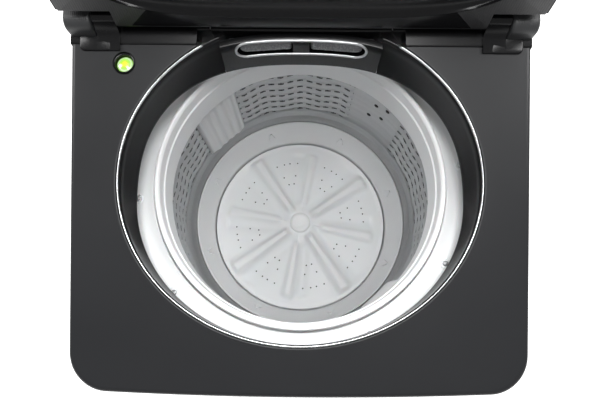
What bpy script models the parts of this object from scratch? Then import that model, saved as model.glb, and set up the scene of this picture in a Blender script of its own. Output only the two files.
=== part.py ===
"""Top load washing machine with its lid open.

Units are metres and +Z is up. The origin is on the floor under the middle of the machine, and -Y is the front.
Heights called "drop" are measured down from the deck plane at the drum axis.
"""
from math import atan, atan2, cos, pi, radians, sin, sqrt

import bmesh
import bpy
from mathutils import Matrix, Vector

# Overall sizes
WIDTH = 0.608
DEPTH = 0.634
DECK_HEIGHT = 0.925          # deck plane above the floor, at the drum axis
DECK_TILT = radians(11.8)    # the deck falls towards the user
DRUM_SETBACK = 0.297         # drum axis behind the foremost point of the deck
FRONT_BULGE = 0.008
FRONT_CORNER = 0.048
REAR_CORNER = 0.020
CABINET_INSET = 0.002        # the deck overhangs the cabinet
CABINET_REAR_INSET = 0.012
SKIRT_DEPTH = 0.085          # deck skirt below the deck height, where the cabinet starts
CABINET_TOP = DECK_HEIGHT - SKIRT_DEPTH
SHEET = 0.001                # steel sheet
WALL = 0.003                 # moulded plastic wall
GAP = 0.0004                 # between pieces that touch
FOOT_HEIGHT = 0.020
BASE_HEIGHT = 0.045
BASE_RAIL = 0.055
FOOT_INSET = 0.050
FOOT_RADIUS = 0.021

# Opening in the deck
OPENING_HALF_WIDTH = 0.2435
OPENING_HALF_DEPTH = 0.2130
OPENING_SHIFT = -0.020       # opening centre in front of the drum axis
TRIM_WIDTH = 0.0045
TRIM_PROUD = 0.0012
FUNNEL_HALF_WIDTH = 0.228    # lower edge of the funnel
FUNNEL_FRONT = 0.1955
FUNNEL_BACK = 0.197
FUNNEL_SHIFT = -0.034
FUNNEL_DROP = 0.048
FUNNEL_SLOPE = 0.09
FUNNEL_TOP_BACK = 0.166      # the funnel's rear wall, behind the drum axis
FUNNEL_CLEARANCE = 0.0031    # to the chrome trim

# Rear of the top
FASCIA_FRONT = 0.1566        # behind the drum axis
FASCIA_BACK = 0.2045
REAR_SHELF_RISE = 0.005      # deck rim under the fascia and console, above the deck height
CONSOLE_FRONT_RISE = 0.062
CONSOLE_GRADIENT = 0.25
PANEL_HALF_WIDTH = 0.255
PANEL_THICKNESS = 0.0016
BUTTON_RADIUS = 0.0105
BUTTON_NAMES = ("power_button", "program_button", "water_level_button", "start_pause_button")
BUTTON_SPACING = 0.042

# Lid
HINGE_BACK = 0.184           # hinge axis behind the drum axis
HINGE_RISE = 0.056           # hinge axis above the deck height
LID_LEAN = radians(10.0)     # past vertical when open
LID_LENGTH = 0.475
LID_HALF_THICKNESS = 0.013
LID_HEEL = 0.0065            # the lid behind its hinge axis
LID_WINDOW_HALF_WIDTH = 0.205
LID_WINDOW_NEAR = 0.075      # from the hinge axis
LID_WINDOW_FAR = 0.405
GLASS_THICKNESS = 0.004
HINGE_INNER = 0.238          # the bracket stands between these distances from the middle
HINGE_OUTER = 0.268
HINGE_NOTCH = 0.023          # the lid's corners are cut away this far in front of the hinge axis
SHOULDER_FRONT = 0.1665      # hinge shoulders of the rear fascia, behind the drum axis
SHOULDER_RISE = 0.065        # and above the deck height
SHOULDER_ROUND = 0.015
PIN_RADIUS = 0.004

# Detergent drawer
DRAWER_HALF_WIDTH = 0.1085
DRAWER_BOTTOM_DROP = 0.033
DRAWER_FRONT_THICKNESS = 0.009
POCKET_MIDDLE = 0.0485       # finger pockets: place and half width across, and heights above the deck height
POCKET_HALF_WIDTH = 0.0375
POCKET_LOW = 0.001
POCKET_HIGH = 0.029
TRAY_LENGTH = 0.135
TRAY_HEIGHT = 0.044

# Tub, drum and drive (drops below the deck height)
DRUM_RADIUS = 0.232
DRUM_SHEET = 0.0012
TUB_CLEARANCE = 0.030        # drum wall to tub wall
TUB_RADIUS = DRUM_RADIUS + TUB_CLEARANCE
TUB_FLOOR = 0.520
COVER_TOP = 0.078
COVER_RIM = 0.020            # height of the tub cover's rim
TUB_TOP = COVER_TOP + COVER_RIM
RING_TOP = 0.062
RING_OVERHANG = 0.011        # balance ring outside and inside the drum wall
RING_INSET = 0.029
RING_OUTER = DRUM_RADIUS + RING_OVERHANG
RING_INNER = DRUM_RADIUS - RING_INSET
RING_BOTTOM = 0.153
DRUM_WAIST_DROP = 0.375
DRUM_FOOT_DROP = 0.401
DRUM_TAPER = 0.015
DRUM_FOOT_RADIUS = DRUM_RADIUS - DRUM_TAPER
BASE_SLOPE_WIDTH = 0.027
BASE_BOWL_RADIUS = DRUM_FOOT_RADIUS - BASE_SLOPE_WIDTH
DRUM_FLOOR_DROP = 0.492
PULSATOR_CLEARANCE = 0.004
PULSATOR_RADIUS = BASE_BOWL_RADIUS - PULSATOR_CLEARANCE
PULSATOR_RIM_DROP = 0.472
PULSATOR_RISE = 0.022
SPIN_SHAFT_RADIUS = 0.020
WASH_SHAFT_RADIUS = 0.010
BEARING_RADIUS = 0.031
STATOR_RADIUS = 0.105
MOTOR_DROP = 0.560
MOTOR_HEIGHT = 0.032
SHAFT_CLEARANCE = 0.0005
SUSPENSION_OFFSET = 0.236    # rods from the drum axis, in X and in Y
EAR_DROP = 0.430
EAR_HEIGHT = 0.026
ROD_RADIUS = 0.004
SPRING_RADIUS = 0.014
SPRING_WIRE = 0.0018
SPRING_LENGTH = 0.105
SPRING_TURNS = 5

LEVEL_X = -0.2335
LEVEL_BACK = 0.1335
LEVEL_RADIUS = 0.0145

FRONT = -DEPTH / 2
REAR = DEPTH / 2
DRUM_Y = FRONT + DRUM_SETBACK
TRAY_BACK = DRUM_Y + FUNNEL_TOP_BACK + TRAY_LENGTH
TRAY_FLOOR = DECK_HEIGHT - DRAWER_BOTTOM_DROP + 0.004
TRAY_HALF_WIDTH = DRAWER_HALF_WIDTH - 0.010
STEPS = 48                   # sides of the large round pieces

for old in list(bpy.data.objects):
    bpy.data.objects.remove(old)


# ---------------------------------------------------------------- helpers

def finish_material(name, colour, roughness, metallic=0.0):
    """A plain Principled material."""
    made = bpy.data.materials.new(name)
    made.use_nodes = True
    shader = made.node_tree.nodes["Principled BSDF"]
    shader.inputs["Base Color"].default_value = (*colour, 1.0)
    shader.inputs["Roughness"].default_value = roughness
    shader.inputs["Metallic"].default_value = metallic
    return made


GRAPHITE = finish_material("graphite_plastic", (0.045, 0.047, 0.050), 0.45)
BLACK = finish_material("black_plastic", (0.008, 0.008, 0.009), 0.35)
WHITE = finish_material("white_plastic", (0.78, 0.79, 0.80), 0.40)
STEEL = finish_material("stainless_steel", (0.55, 0.55, 0.54), 0.30, 1.0)
CHROME = finish_material("chrome_plating", (0.80, 0.80, 0.80), 0.10, 1.0)
PAINT = finish_material("painted_steel", (0.060, 0.062, 0.066), 0.40)
ZINC = finish_material("zinc_plated_steel", (0.45, 0.45, 0.44), 0.45, 1.0)
RUBBER = finish_material("rubber", (0.020, 0.020, 0.020), 0.80)
GLASS = finish_material("tinted_glass", (0.010, 0.011, 0.012), 0.05)
LIME = finish_material("level_fluid", (0.45, 0.80, 0.05), 0.20)
COPPER = finish_material("motor_winding", (0.50, 0.22, 0.08), 0.45, 1.0)
BOARD = finish_material("circuit_board", (0.02, 0.16, 0.06), 0.55)


def add_object(name, bm, material, smooth=35.0):
    """Turn a bmesh into a named object with outward faces."""
    bmesh.ops.recalc_face_normals(bm, faces=bm.faces)
    mesh = bpy.data.meshes.new(name)
    bm.to_mesh(mesh)
    bm.free()
    mesh.materials.append(material)
    mesh.shade_smooth()
    mesh.set_sharp_from_angle(angle=radians(smooth))
    made = bpy.data.objects.new(name, mesh)
    bpy.context.scene.collection.objects.link(made)
    return made


def bridge(bm, rings, close):
    """Join rings of vertices one after the other, and the last to the first if close is set."""
    count = len(rings[0])
    pairs = list(zip(rings, rings[1:]))
    if close:
        pairs.append((rings[-1], rings[0]))
    for low, high in pairs:
        for i in range(count):
            j = (i + 1) % count
            bm.faces.new((low[i], low[j], high[j], high[i]))


def loft(name, loops, material, close=False, smooth=35.0):
    """A body through loops of points: a ring with a closed section, or a bar capped at both ends."""
    bm = bmesh.new()
    rings = [[bm.verts.new(point) for point in loop] for loop in loops]
    bridge(bm, rings, close)
    if not close:
        bm.faces.new(rings[0])
        bm.faces.new(rings[-1])
    return add_object(name, bm, material, smooth)


def turned(name, section, material, centre=(0.0, None), steps=STEPS, smooth=35.0):
    """Turn a section of (radius, height) points about a vertical axis.

    A section that starts and ends at radius 0 is capped by those points, and any other one is a closed ring.
    """
    x = centre[0]
    y = DRUM_Y if centre[1] is None else centre[1]
    bm = bmesh.new()
    rings = []
    for radius, height in section:
        if radius == 0.0:
            rings.append([bm.verts.new((x, y, height))])
            continue
        angles = [2 * pi * i / steps for i in range(steps)]
        rings.append([bm.verts.new((x + radius * cos(a), y + radius * sin(a), height)) for a in angles])
    solid = section[0][0] == 0.0
    middle = rings[1:-1] if solid else rings
    bridge(bm, middle, not solid)
    if solid:
        for pole, ring in ((rings[0][0], rings[1]), (rings[-1][0], rings[-2])):
            for i in range(steps):
                bm.faces.new((pole, ring[i], ring[(i + 1) % steps]))
    return add_object(name, bm, material, smooth)


def drop(distance):
    """Height above the floor of a point that far below the deck plane at the drum axis."""
    return DECK_HEIGHT - distance


def box(name, low, high, material):
    """A rectangular block from its low corner to its high corner."""
    x0, y0, z0 = low
    x1, y1, z1 = high
    loops = [[(x0, y0, z), (x1, y0, z), (x1, y1, z), (x0, y1, z)] for z in (z0, z1)]
    return loft(name, loops, material)


def cylinder(name, start, end, radius, material, steps=20):
    """A round bar between two points."""
    start, end = Vector(start), Vector(end)
    along = (end - start).normalized()
    side = along.orthogonal().normalized()
    other = along.cross(side)
    ring = [side * (radius * cos(2 * pi * i / steps)) + other * (radius * sin(2 * pi * i / steps))
            for i in range(steps)]
    return loft(name, [[start + v for v in ring], [end + v for v in ring]], material)


def combine(target, other, operation):
    """Apply one exact Boolean and remove the second object."""
    modifier = target.modifiers.new("Boolean", "BOOLEAN")
    modifier.operation = operation
    modifier.solver = "EXACT"
    modifier.object = other
    graph = bpy.context.evaluated_depsgraph_get()
    mesh = bpy.data.meshes.new_from_object(target.evaluated_get(graph))
    target.modifiers.clear()
    target.data = mesh
    bpy.data.objects.remove(other)
    bm = bmesh.new()
    bm.from_mesh(mesh)
    bmesh.ops.remove_doubles(bm, verts=bm.verts, dist=0.000004)
    bmesh.ops.dissolve_degenerate(bm, edges=bm.edges, dist=0.000004)
    bm.to_mesh(mesh)
    bm.free()
    mesh.shade_smooth()
    mesh.set_sharp_from_angle(angle=radians(35.0))


def move(thing, matrix):
    """Move an object's mesh from a piece's own frame to the machine's frame."""
    thing.data.transform(matrix)


def centre_origin(thing, point):
    """Put an object's origin on its joint axis without moving its mesh."""
    thing.data.transform(Matrix.Translation(-Vector(point)))
    thing.location = point


def corner(cx, cy, radius, start, steps=5):
    """A quarter arc of points about a corner's centre."""
    return [(cx + radius * cos(start + pi / 2 * i / steps), cy + radius * sin(start + pi / 2 * i / steps))
            for i in range(steps + 1)]


def subdivide(points, longest):
    """Split long sides of a closed outline."""
    result = []
    for here, there in zip(points, points[1:] + points[:1]):
        length = sqrt((there[0] - here[0]) ** 2 + (there[1] - here[1]) ** 2)
        parts = max(1, round(length / longest))
        for i in range(parts):
            share = i / parts
            result.append((here[0] + (there[0] - here[0]) * share, here[1] + (there[1] - here[1]) * share))
    return result


def rounded_rect(x0, x1, y0, y1, front_radius, rear_radius):
    """Outline of a rectangle with round corners, anticlockwise from the front left corner."""
    f, r = front_radius, rear_radius
    return (corner(x0 + f, y0 + f, f, pi) + corner(x1 - f, y0 + f, f, 1.5 * pi)
            + corner(x1 - r, y1 - r, r, 0.0) + corner(x0 + r, y1 - r, r, pi / 2))


# The outer outline is divided once, so that every loop made from it has matching points.
PLAIN_OUTLINE = subdivide(rounded_rect(-WIDTH / 2, WIDTH / 2, FRONT + FRONT_BULGE, REAR,
                                       FRONT_CORNER, REAR_CORNER), 0.040)


def outline(inset, rear_inset=None):
    """Plan outline of the machine, moved inwards, with the front bowed."""
    rear_inset = inset if rear_inset is None else rear_inset
    half, front, rear = WIDTH / 2, FRONT + FRONT_BULGE, REAR
    middle = (front + rear) / 2
    points = []
    for x, y in PLAIN_OUTLINE:
        x_new = x * (half - inset) / half
        reach, cut = (rear, rear_inset) if y > middle else (front, inset)
        y_new = middle + (y - middle) * (abs(reach - middle) - cut) / abs(reach - middle)
        if y < middle:
            bow = 1.0 - (x / half) ** 2
            y_new -= FRONT_BULGE * bow * (y - middle) / (front - middle)
        points.append((x_new, y_new))
    return points


def deck_z(y):
    """Height of the deck plane."""
    return DECK_HEIGHT + (y - DRUM_Y) * sin(DECK_TILT) / cos(DECK_TILT)


def opening(grow):
    """The oval opening of the deck, one point for each point of the outline."""
    cy = DRUM_Y + OPENING_SHIFT
    a, b = OPENING_HALF_WIDTH + grow, OPENING_HALF_DEPTH + grow
    points = []
    for x, y in PLAIN_OUTLINE:
        angle = atan2((y - cy) / b, x / a)
        points.append((a * cos(angle), cy + b * sin(angle)))
    return points


# ---------------------------------------------------------------- cabinet and base

BASE_TOP = FOOT_HEIGHT + BASE_HEIGHT


def level_loop(points, height):
    return [(x, y, height) for x, y in points]


def make_base():
    """Moulded base frame, the steel cabinet wrapped round the machine, and its rear cover."""
    outer = outline(CABINET_INSET, CABINET_REAR_INSET)
    inner = outline(CABINET_INSET + BASE_RAIL, CABINET_REAR_INSET + BASE_RAIL)
    loft("base_frame", [level_loop(outer, FOOT_HEIGHT), level_loop(outer, BASE_TOP),
                        level_loop(inner, BASE_TOP), level_loop(inner, FOOT_HEIGHT)], BLACK, close=True)
    inner = outline(CABINET_INSET + SHEET, CABINET_REAR_INSET + SHEET)
    low, high = BASE_TOP + GAP, CABINET_TOP
    cabinet = loft("cabinet", [level_loop(outer, low), level_loop(outer, high),
                               level_loop(inner, high), level_loop(inner, low)], PAINT, close=True)
    window = (WIDTH / 2 - 0.060, low + 0.050, high - 0.060)
    back = REAR - CABINET_REAR_INSET
    combine(cabinet, box("rear_window", (-window[0], back - 0.010, window[1]),
                         (window[0], back + 0.010, window[2]), PAINT), "DIFFERENCE")
    lap = 0.015
    face = back - SHEET - GAP
    cover = box("rear_cover", (-window[0] - lap, face - SHEET, window[1] - lap),
                (window[0] + lap, face, window[2] + lap), ZINC)
    gland_x, gland_z, gland_radius = 0.200, window[1] + 0.060, 0.012
    hole = cylinder("gland_hole", (gland_x, face - 0.010, gland_z), (gland_x, face + 0.010, gland_z),
                    gland_radius * 0.6, ZINC)
    combine(cover, hole, "DIFFERENCE")
    gland = cylinder("cord_gland", (gland_x, face + GAP, gland_z), (gland_x, face + 0.010, gland_z),
                     gland_radius, RUBBER)
    bore = cylinder("gland_bore", (gland_x, face - 0.010, gland_z), (gland_x, face + 0.020, gland_z),
                    gland_radius * 0.4, RUBBER)
    combine(gland, bore, "DIFFERENCE")


def make_feet():
    """Four levelling feet: a rubber pad, a nut and a threaded stud, drawn as one turned piece."""
    rim = 0.003
    section = [(0.0, 0.0), (FOOT_RADIUS - rim, 0.0), (FOOT_RADIUS, rim), (FOOT_RADIUS, 0.009),
               (FOOT_RADIUS - rim, 0.012), (0.010, 0.012), (0.010, FOOT_HEIGHT - GAP),
               (0.0, FOOT_HEIGHT - GAP)]
    for side, x in (("left", -1), ("right", 1)):
        for end, y in (("front", FRONT + FOOT_INSET), ("rear", REAR - CABINET_REAR_INSET - FOOT_INSET + 0.010)):
            turned(f"foot_{end}_{side}", section, RUBBER, (x * (WIDTH / 2 - FOOT_INSET), y), 14)


# ---------------------------------------------------------------- deck, funnel and trim

def sloping_loop(points, below):
    return [(x, y, deck_z(y) - below) for x, y in points]


def make_deck():
    """The moulded top: a sloping deck with a skirt, an oval opening, and a low rim behind for the console."""
    bottom = CABINET_TOP + GAP
    edge = 0.006
    lip = 0.012
    loops = [level_loop(outline(0.0), bottom), sloping_loop(outline(0.0), edge),
             sloping_loop(outline(edge * 0.3), edge * 0.3), sloping_loop(outline(edge), 0.0),
             sloping_loop(opening(0.0), 0.0), sloping_loop(opening(0.0), lip),
             sloping_loop(opening(WALL), lip), sloping_loop(opening(WALL), WALL),
             sloping_loop(outline(WALL + 0.001), WALL + edge * 0.5), level_loop(outline(WALL), bottom)]
    deck = loft("top_deck", loops, GRAPHITE, close=True)
    shelf = DECK_HEIGHT + REAR_SHELF_RISE
    start = DRUM_Y + FASCIA_FRONT
    high = DECK_HEIGHT + 0.200
    combine(deck, box("shelf_cut", (-WIDTH, start, shelf), (WIDTH, REAR + 0.1, high), GRAPHITE), "DIFFERENCE")
    well = WIDTH / 2 - WALL - 0.0035
    combine(deck, box("well_cut", (-well, start, DECK_HEIGHT - 0.05), (well, REAR - WALL - 0.003, high),
                      GRAPHITE), "DIFFERENCE")
    y = DRUM_Y + LEVEL_BACK
    hole = cylinder("level_hole", (LEVEL_X, y, deck_z(y) - 0.03), (LEVEL_X, y, deck_z(y) + 0.03),
                    LEVEL_RADIUS + GAP, GRAPHITE, 20)
    combine(deck, hole, "DIFFERENCE")
    return deck


def make_level():
    """Round bubble level: a black cup let into the deck with the liquid vial in it."""
    y = DRUM_Y + LEVEL_BACK
    tilt = Matrix.Translation((LEVEL_X, y, deck_z(y)))
    rim = LEVEL_RADIUS
    cup = turned("level_cup", [(0.0, -0.016), (rim, -0.016), (rim, -0.0008), (rim - 0.001, 0.0),
                               (rim - 0.0025, -0.0008), (rim - 0.0030, -0.0090), (0.0, -0.0090)],
                 BLACK, (0.0, 0.0), 20)
    move(cup, tilt)
    vial_radius = rim - 0.0030 - GAP
    vial = turned("level_vial", [(0.0, -0.0090 + GAP), (vial_radius, -0.0090 + GAP), (vial_radius, -0.0045),
                                 (vial_radius * 0.8, -0.0030), (0.0, -0.0025)], LIME, (0.0, 0.0), 20)
    move(vial, tilt)


def funnel_point(angle, level, thickness):
    """A point on the funnel wall: level 0 is its lower edge and 1 its top rim at the deck."""
    c, s = cos(angle), sin(angle)
    power = 2.5 if s > 0 else 2.0
    reach = FUNNEL_BACK if s > 0 else FUNNEL_FRONT
    stretch = (abs(c) ** power + abs(s) ** power) ** (-1 / power)
    low = Vector((FUNNEL_HALF_WIDTH * c * stretch, FUNNEL_SHIFT + reach * s * stretch, 0.0))
    low.z = -FUNNEL_DROP + FUNNEL_SLOPE * low.y
    inset = TRIM_WIDTH + WALL + FUNNEL_CLEARANCE
    high = Vector(((OPENING_HALF_WIDTH - inset) * c, OPENING_SHIFT + (OPENING_HALF_DEPTH - inset) * s, 0.0))
    high.y = min(high.y, FUNNEL_TOP_BACK + 0.02 * (high.y - FUNNEL_TOP_BACK))
    high.z = high.y * sin(DECK_TILT) / cos(DECK_TILT) - GAP
    point = low.lerp(high, level)
    point += Vector((c, s, 0.0)) * thickness
    return (point.x, DRUM_Y + point.y, DECK_HEIGHT + point.z)


def make_funnel():
    """Black oval funnel from the deck opening down to the tub, split at the back for the drawer."""
    loops = []
    for level, thickness in ((0.0, 0.0), (0.35, 0.001), (0.75, 0.0), (1.0, 0.0),
                             (1.0, WALL), (0.75, WALL), (0.35, WALL + 0.001), (0.0, WALL)):
        loops.append([funnel_point(2 * pi * i / 72, level, thickness) for i in range(72)])
    funnel = loft("funnel_ring", loops, BLACK, close=True)
    split = box("drawer_split", (-DRAWER_HALF_WIDTH, DRUM_Y + 0.10, DECK_HEIGHT - 0.2),
                (DRAWER_HALF_WIDTH, DRUM_Y + 0.25, DECK_HEIGHT + 0.2), BLACK)
    combine(funnel, split, "DIFFERENCE")


def make_trim():
    """Thin chrome trim round the opening, ending under the rear fascia."""
    outer = opening(-GAP)
    inner = opening(-GAP - TRIM_WIDTH)
    trim = loft("chrome_trim", [sloping_loop(outer, 0.005), sloping_loop(outer, -TRIM_PROUD),
                                sloping_loop(inner, -TRIM_PROUD * 0.3), sloping_loop(inner, 0.005)],
                CHROME, close=True)
    combine(trim, box("trim_end", (-WIDTH, DRUM_Y + FASCIA_FRONT - GAP, 0.5), (WIDTH, REAR, 1.5), CHROME),
            "DIFFERENCE")
    combine(trim, box("drawer_way", (-DRAWER_HALF_WIDTH, DRUM_Y + 0.10, 0.5), (DRAWER_HALF_WIDTH, REAR, 1.5),
                      CHROME), "DIFFERENCE")


# ---------------------------------------------------------------- rear fascia and console

def rear_block(y_front, y_back, top, wall, inset):
    """Loops of a hollow cover across the machine, open below, between two distances behind the drum axis."""
    half = WIDTH / 2 - inset
    y0, y1 = DRUM_Y + y_front, min(DRUM_Y + y_back, REAR - inset)
    rear_corner = REAR_CORNER if y1 > REAR - 0.01 else 0.002
    outer = subdivide(rounded_rect(-half, half, y0, y1, 0.002, rear_corner), 0.06)
    cx, cy = 0.0, (y0 + y1) / 2
    sx, sy = (half - wall) / half, ((y1 - y0) / 2 - wall) / ((y1 - y0) / 2)
    inner = [(cx + (x - cx) * sx, cy + (y - cy) * sy) for x, y in outer]
    bottom = DECK_HEIGHT + REAR_SHELF_RISE + GAP
    return [[(x, y, bottom) for x, y in outer], [(x, y, top(y)) for x, y in outer],
            [(x, y, top(y) - wall) for x, y in inner], [(x, y, bottom) for x, y in inner]]


def hollow_cover(name, loops, material):
    """A cover with a flat top: the outer and inner tops are each one face, joined at the bottom rim."""
    bm = bmesh.new()
    outer_low, outer_top, inner_top, inner_low = [[bm.verts.new(p) for p in loop] for loop in loops]
    bridge(bm, [outer_top, outer_low, inner_low, inner_top], False)
    bm.faces.new(outer_top)
    bm.faces.new(inner_top)
    return add_object(name, bm, material)


def console_z(y):
    """Height of the console's sloping top."""
    return DECK_HEIGHT + CONSOLE_FRONT_RISE + (y - DRUM_Y - FASCIA_BACK) * CONSOLE_GRADIENT


def fascia_z(y):
    return deck_z(y) + 0.001


CONSOLE_TILT = Matrix.Rotation(atan(CONSOLE_GRADIENT), 4, "X")
BUTTON_BACK = FASCIA_BACK + 0.062


def button_places():
    """Name and place of each button on the console, in the console's tilted plane."""
    y = DRUM_Y + BUTTON_BACK
    first = -BUTTON_SPACING * (len(BUTTON_NAMES) - 1) / 2
    return [(name, Vector((first + i * BUTTON_SPACING + 0.12, y, console_z(y))))
            for i, name in enumerate(BUTTON_NAMES)]


def make_shoulder(side):
    """A block with a round front edge that stands on the fascia outside a hinge bracket."""
    y0, y1 = DRUM_Y + SHOULDER_FRONT, DRUM_Y + FASCIA_BACK - 2 * GAP
    foot, top = fascia_z(y0) - 0.001, DECK_HEIGHT + SHOULDER_RISE
    r = SHOULDER_ROUND
    turns = [pi / 2 * i / 5 for i in range(6)]
    profile = [(y0, foot)] + [(y0 + r - r * cos(a), top - r + r * sin(a)) for a in turns]
    profile += [(y1, top), (y1, foot)]
    reach = WIDTH / 2 - 2 * GAP
    loops = [[(side * x, y, z) for y, z in profile] for x in (HINGE_OUTER + GAP, reach)]
    return loft("hinge_shoulder", loops, BLACK)


def make_rear():
    """Rear fascia in front of the hinge, the console behind it, its panel, buttons and control board."""
    fascia = hollow_cover("rear_fascia", rear_block(FASCIA_FRONT + GAP, FASCIA_BACK - GAP, fascia_z, WALL, 0.0),
                          BLACK)
    notch = box("fascia_notch", (-DRAWER_HALF_WIDTH - 0.030, DRUM_Y + 0.10, 0.5),
                (DRAWER_HALF_WIDTH + 0.030, DRUM_Y + FUNNEL_TOP_BACK + DRAWER_FRONT_THICKNESS + 3 * GAP, 1.5),
                BLACK)
    combine(fascia, notch, "DIFFERENCE")
    for side in (-1, 1):
        combine(fascia, make_shoulder(side), "UNION")
    console = hollow_cover("rear_console", rear_block(FASCIA_BACK, 1.0, console_z, WALL, 0.0), GRAPHITE)
    side = TRAY_HALF_WIDTH + 0.008
    for target in (fascia, console):
        passage = box("drawer_passage", (-side, DRUM_Y + FUNNEL_TOP_BACK, 0.5),
                      (side, DRUM_Y + FASCIA_BACK + 0.012, TRAY_FLOOR + TRAY_HEIGHT + 0.003), BLACK)
        combine(target, passage, "DIFFERENCE")
    y0, y1 = DRUM_Y + FASCIA_BACK + 0.018, REAR - 0.022
    plan = rounded_rect(-PANEL_HALF_WIDTH, PANEL_HALF_WIDTH, y0, y1, 0.006, 0.006)
    panel = loft("control_panel", [[(x, y, console_z(y) + GAP) for x, y in plan],
                                   [(x, y, console_z(y) + GAP + PANEL_THICKNESS) for x, y in plan]], GLASS)
    for name, place in button_places():
        axis = CONSOLE_TILT @ Vector((0.0, 0.0, 1.0))
        for target in (console, panel):
            bore = cylinder("button_bore", place - axis * 0.010, place + axis * 0.010, BUTTON_RADIUS + 0.0004,
                            BLACK, 16)
            combine(target, bore, "DIFFERENCE")
        top = 0.0030 + PANEL_THICKNESS
        button = turned(name, [(0.0, -0.006), (BUTTON_RADIUS, -0.006), (BUTTON_RADIUS, top - 0.001),
                               (BUTTON_RADIUS - 0.001, top), (0.0, top - 0.0004)], CHROME, (0.0, 0.0), 16)
        move(button, CONSOLE_TILT)
        button.location = place
    board_back = DRUM_Y + FASCIA_BACK + 0.030
    box("control_board", (-0.240, board_back, DECK_HEIGHT + 0.010), (-0.125, board_back + 0.070,
                                                                     DECK_HEIGHT + 0.034), BOARD)


# ---------------------------------------------------------------- detergent drawer and water inlet

def drawer_face(x, height):
    """Depth of the drawer's front face behind the machine's middle, following the funnel wall."""
    along = (height - (DECK_HEIGHT - DRAWER_BOTTOM_DROP)) / (DRAWER_BOTTOM_DROP + FUNNEL_TOP_BACK
                                                             * sin(DECK_TILT) / cos(DECK_TILT))
    share = min(1.0, max(0.0, abs(x) / FUNNEL_HALF_WIDTH))
    low = FUNNEL_SHIFT + FUNNEL_BACK * (1 - share ** 2.5) ** 0.4
    high = FUNNEL_TOP_BACK - (FUNNEL_SHIFT + FUNNEL_BACK - low) * 0.9
    return DRUM_Y + low + (high - low) * along


def make_drawer():
    """Curved drawer front with two finger pockets, its three-compartment tray, and the fixed housing."""
    half = DRAWER_HALF_WIDTH - 0.001
    low = DECK_HEIGHT - DRAWER_BOTTOM_DROP
    loops = []
    for i in range(17):
        x = -half + 2 * half * i / 16
        top = deck_z(drawer_face(x, DECK_HEIGHT)) - 0.0005
        front = [(x, drawer_face(x, z), z) for z in (low, low + (top - low) * 0.5, top)]
        rear = [(p[0], p[1] + DRAWER_FRONT_THICKNESS, p[2]) for p in reversed(front)]
        loops.append(front + rear)
    front = loft("drawer_front", loops, BLACK)
    for side in (-1, 1):
        middle = side * POCKET_MIDDLE
        pocket = box("finger_pocket", (middle - POCKET_HALF_WIDTH, DRUM_Y + 0.10, DECK_HEIGHT + POCKET_LOW),
                     (middle + POCKET_HALF_WIDTH, drawer_face(0.0, DECK_HEIGHT) + DRAWER_FRONT_THICKNESS * 0.45,
                      DECK_HEIGHT + POCKET_HIGH), BLACK)
        combine(front, pocket, "DIFFERENCE")
    y0 = drawer_face(0.0, DECK_HEIGHT) + DRAWER_FRONT_THICKNESS + 2 * GAP
    tray = box("drawer_tray", (-TRAY_HALF_WIDTH, y0, TRAY_FLOOR),
               (TRAY_HALF_WIDTH, TRAY_BACK, TRAY_FLOOR + TRAY_HEIGHT), WHITE)
    wall = 0.002
    inside = 2 * TRAY_HALF_WIDTH - 4 * wall
    for i in range(3):
        left = -TRAY_HALF_WIDTH + wall + i * (inside / 3 + wall)
        room = box("compartment", (left, y0 + wall, TRAY_FLOOR + wall),
                   (left + inside / 3, TRAY_BACK - wall, TRAY_FLOOR + TRAY_HEIGHT + 0.01), WHITE)
        combine(tray, room, "DIFFERENCE")
    slack = 0.0015
    shell = 0.002
    reach = TRAY_HALF_WIDTH + slack
    housing = box("drawer_housing", (-reach - shell, y0 + 0.006, TRAY_FLOOR - slack - shell),
                  (reach + shell, TRAY_BACK + slack + shell, TRAY_FLOOR + TRAY_HEIGHT - 0.004), WHITE)
    room = box("housing_room", (-reach, y0 - 0.01, TRAY_FLOOR - slack),
               (reach, TRAY_BACK + slack, TRAY_FLOOR + TRAY_HEIGHT + 0.01), WHITE)
    combine(housing, room, "DIFFERENCE")


def make_inlet():
    """Twin water inlet valve at the rear of the top, beside the drawer housing."""
    x, y = 0.200, REAR - 0.070
    floor = DECK_HEIGHT - 0.020
    valve = box("inlet_valve", (x - 0.030, y - 0.020, floor), (x + 0.030, y + 0.020, floor + 0.030), WHITE)
    for side in (-1, 1):
        place = x + side * 0.016
        combine(valve, cylinder("valve_coil", (place, y, floor + 0.020), (place, y, floor + 0.052), 0.012,
                                WHITE, 16), "UNION")


# ---------------------------------------------------------------- lid

def lid_matrix():
    """From the lid's own frame to its open place: X along the hinge, Y away from it, Z to the inner side."""
    away = Vector((0.0, sin(LID_LEAN), cos(LID_LEAN)))
    inner = Vector((0.0, -cos(LID_LEAN), sin(LID_LEAN)))
    matrix = Matrix((Vector((1.0, 0.0, 0.0)), away, inner)).transposed().to_4x4()
    return Matrix.Translation(hinge_point()) @ matrix


def hinge_point():
    return Vector((0.0, DRUM_Y + HINGE_BACK, DECK_HEIGHT + HINGE_RISE))


def lid_loop(inset, depth, radius=FRONT_CORNER):
    """Outline of the lid in its own frame; the hinge edge has small corners."""
    half = WIDTH / 2 - inset
    near, far = -LID_HEEL + inset, LID_LENGTH - inset
    plan = rounded_rect(-half, half, near, far, 0.006, max(0.004, radius - inset))
    return [(x, y, depth) for x, y in subdivide(plan, 0.08)]


def window_loop(reference, grow, depth):
    """The lid's window, one point for each point of the lid's outline."""
    half = LID_WINDOW_HALF_WIDTH + grow
    near, far = LID_WINDOW_NEAR - grow, LID_WINDOW_FAR + grow
    cy, b = (near + far) / 2, (far - near) / 2
    points = []
    for x, y, _ in reference:
        u, v = x / half, (y - cy) / b
        reach = (u ** 6 + v ** 6) ** (1 / 6)
        points.append((x / reach, cy + (y - cy) / reach, depth))
    return points


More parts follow.
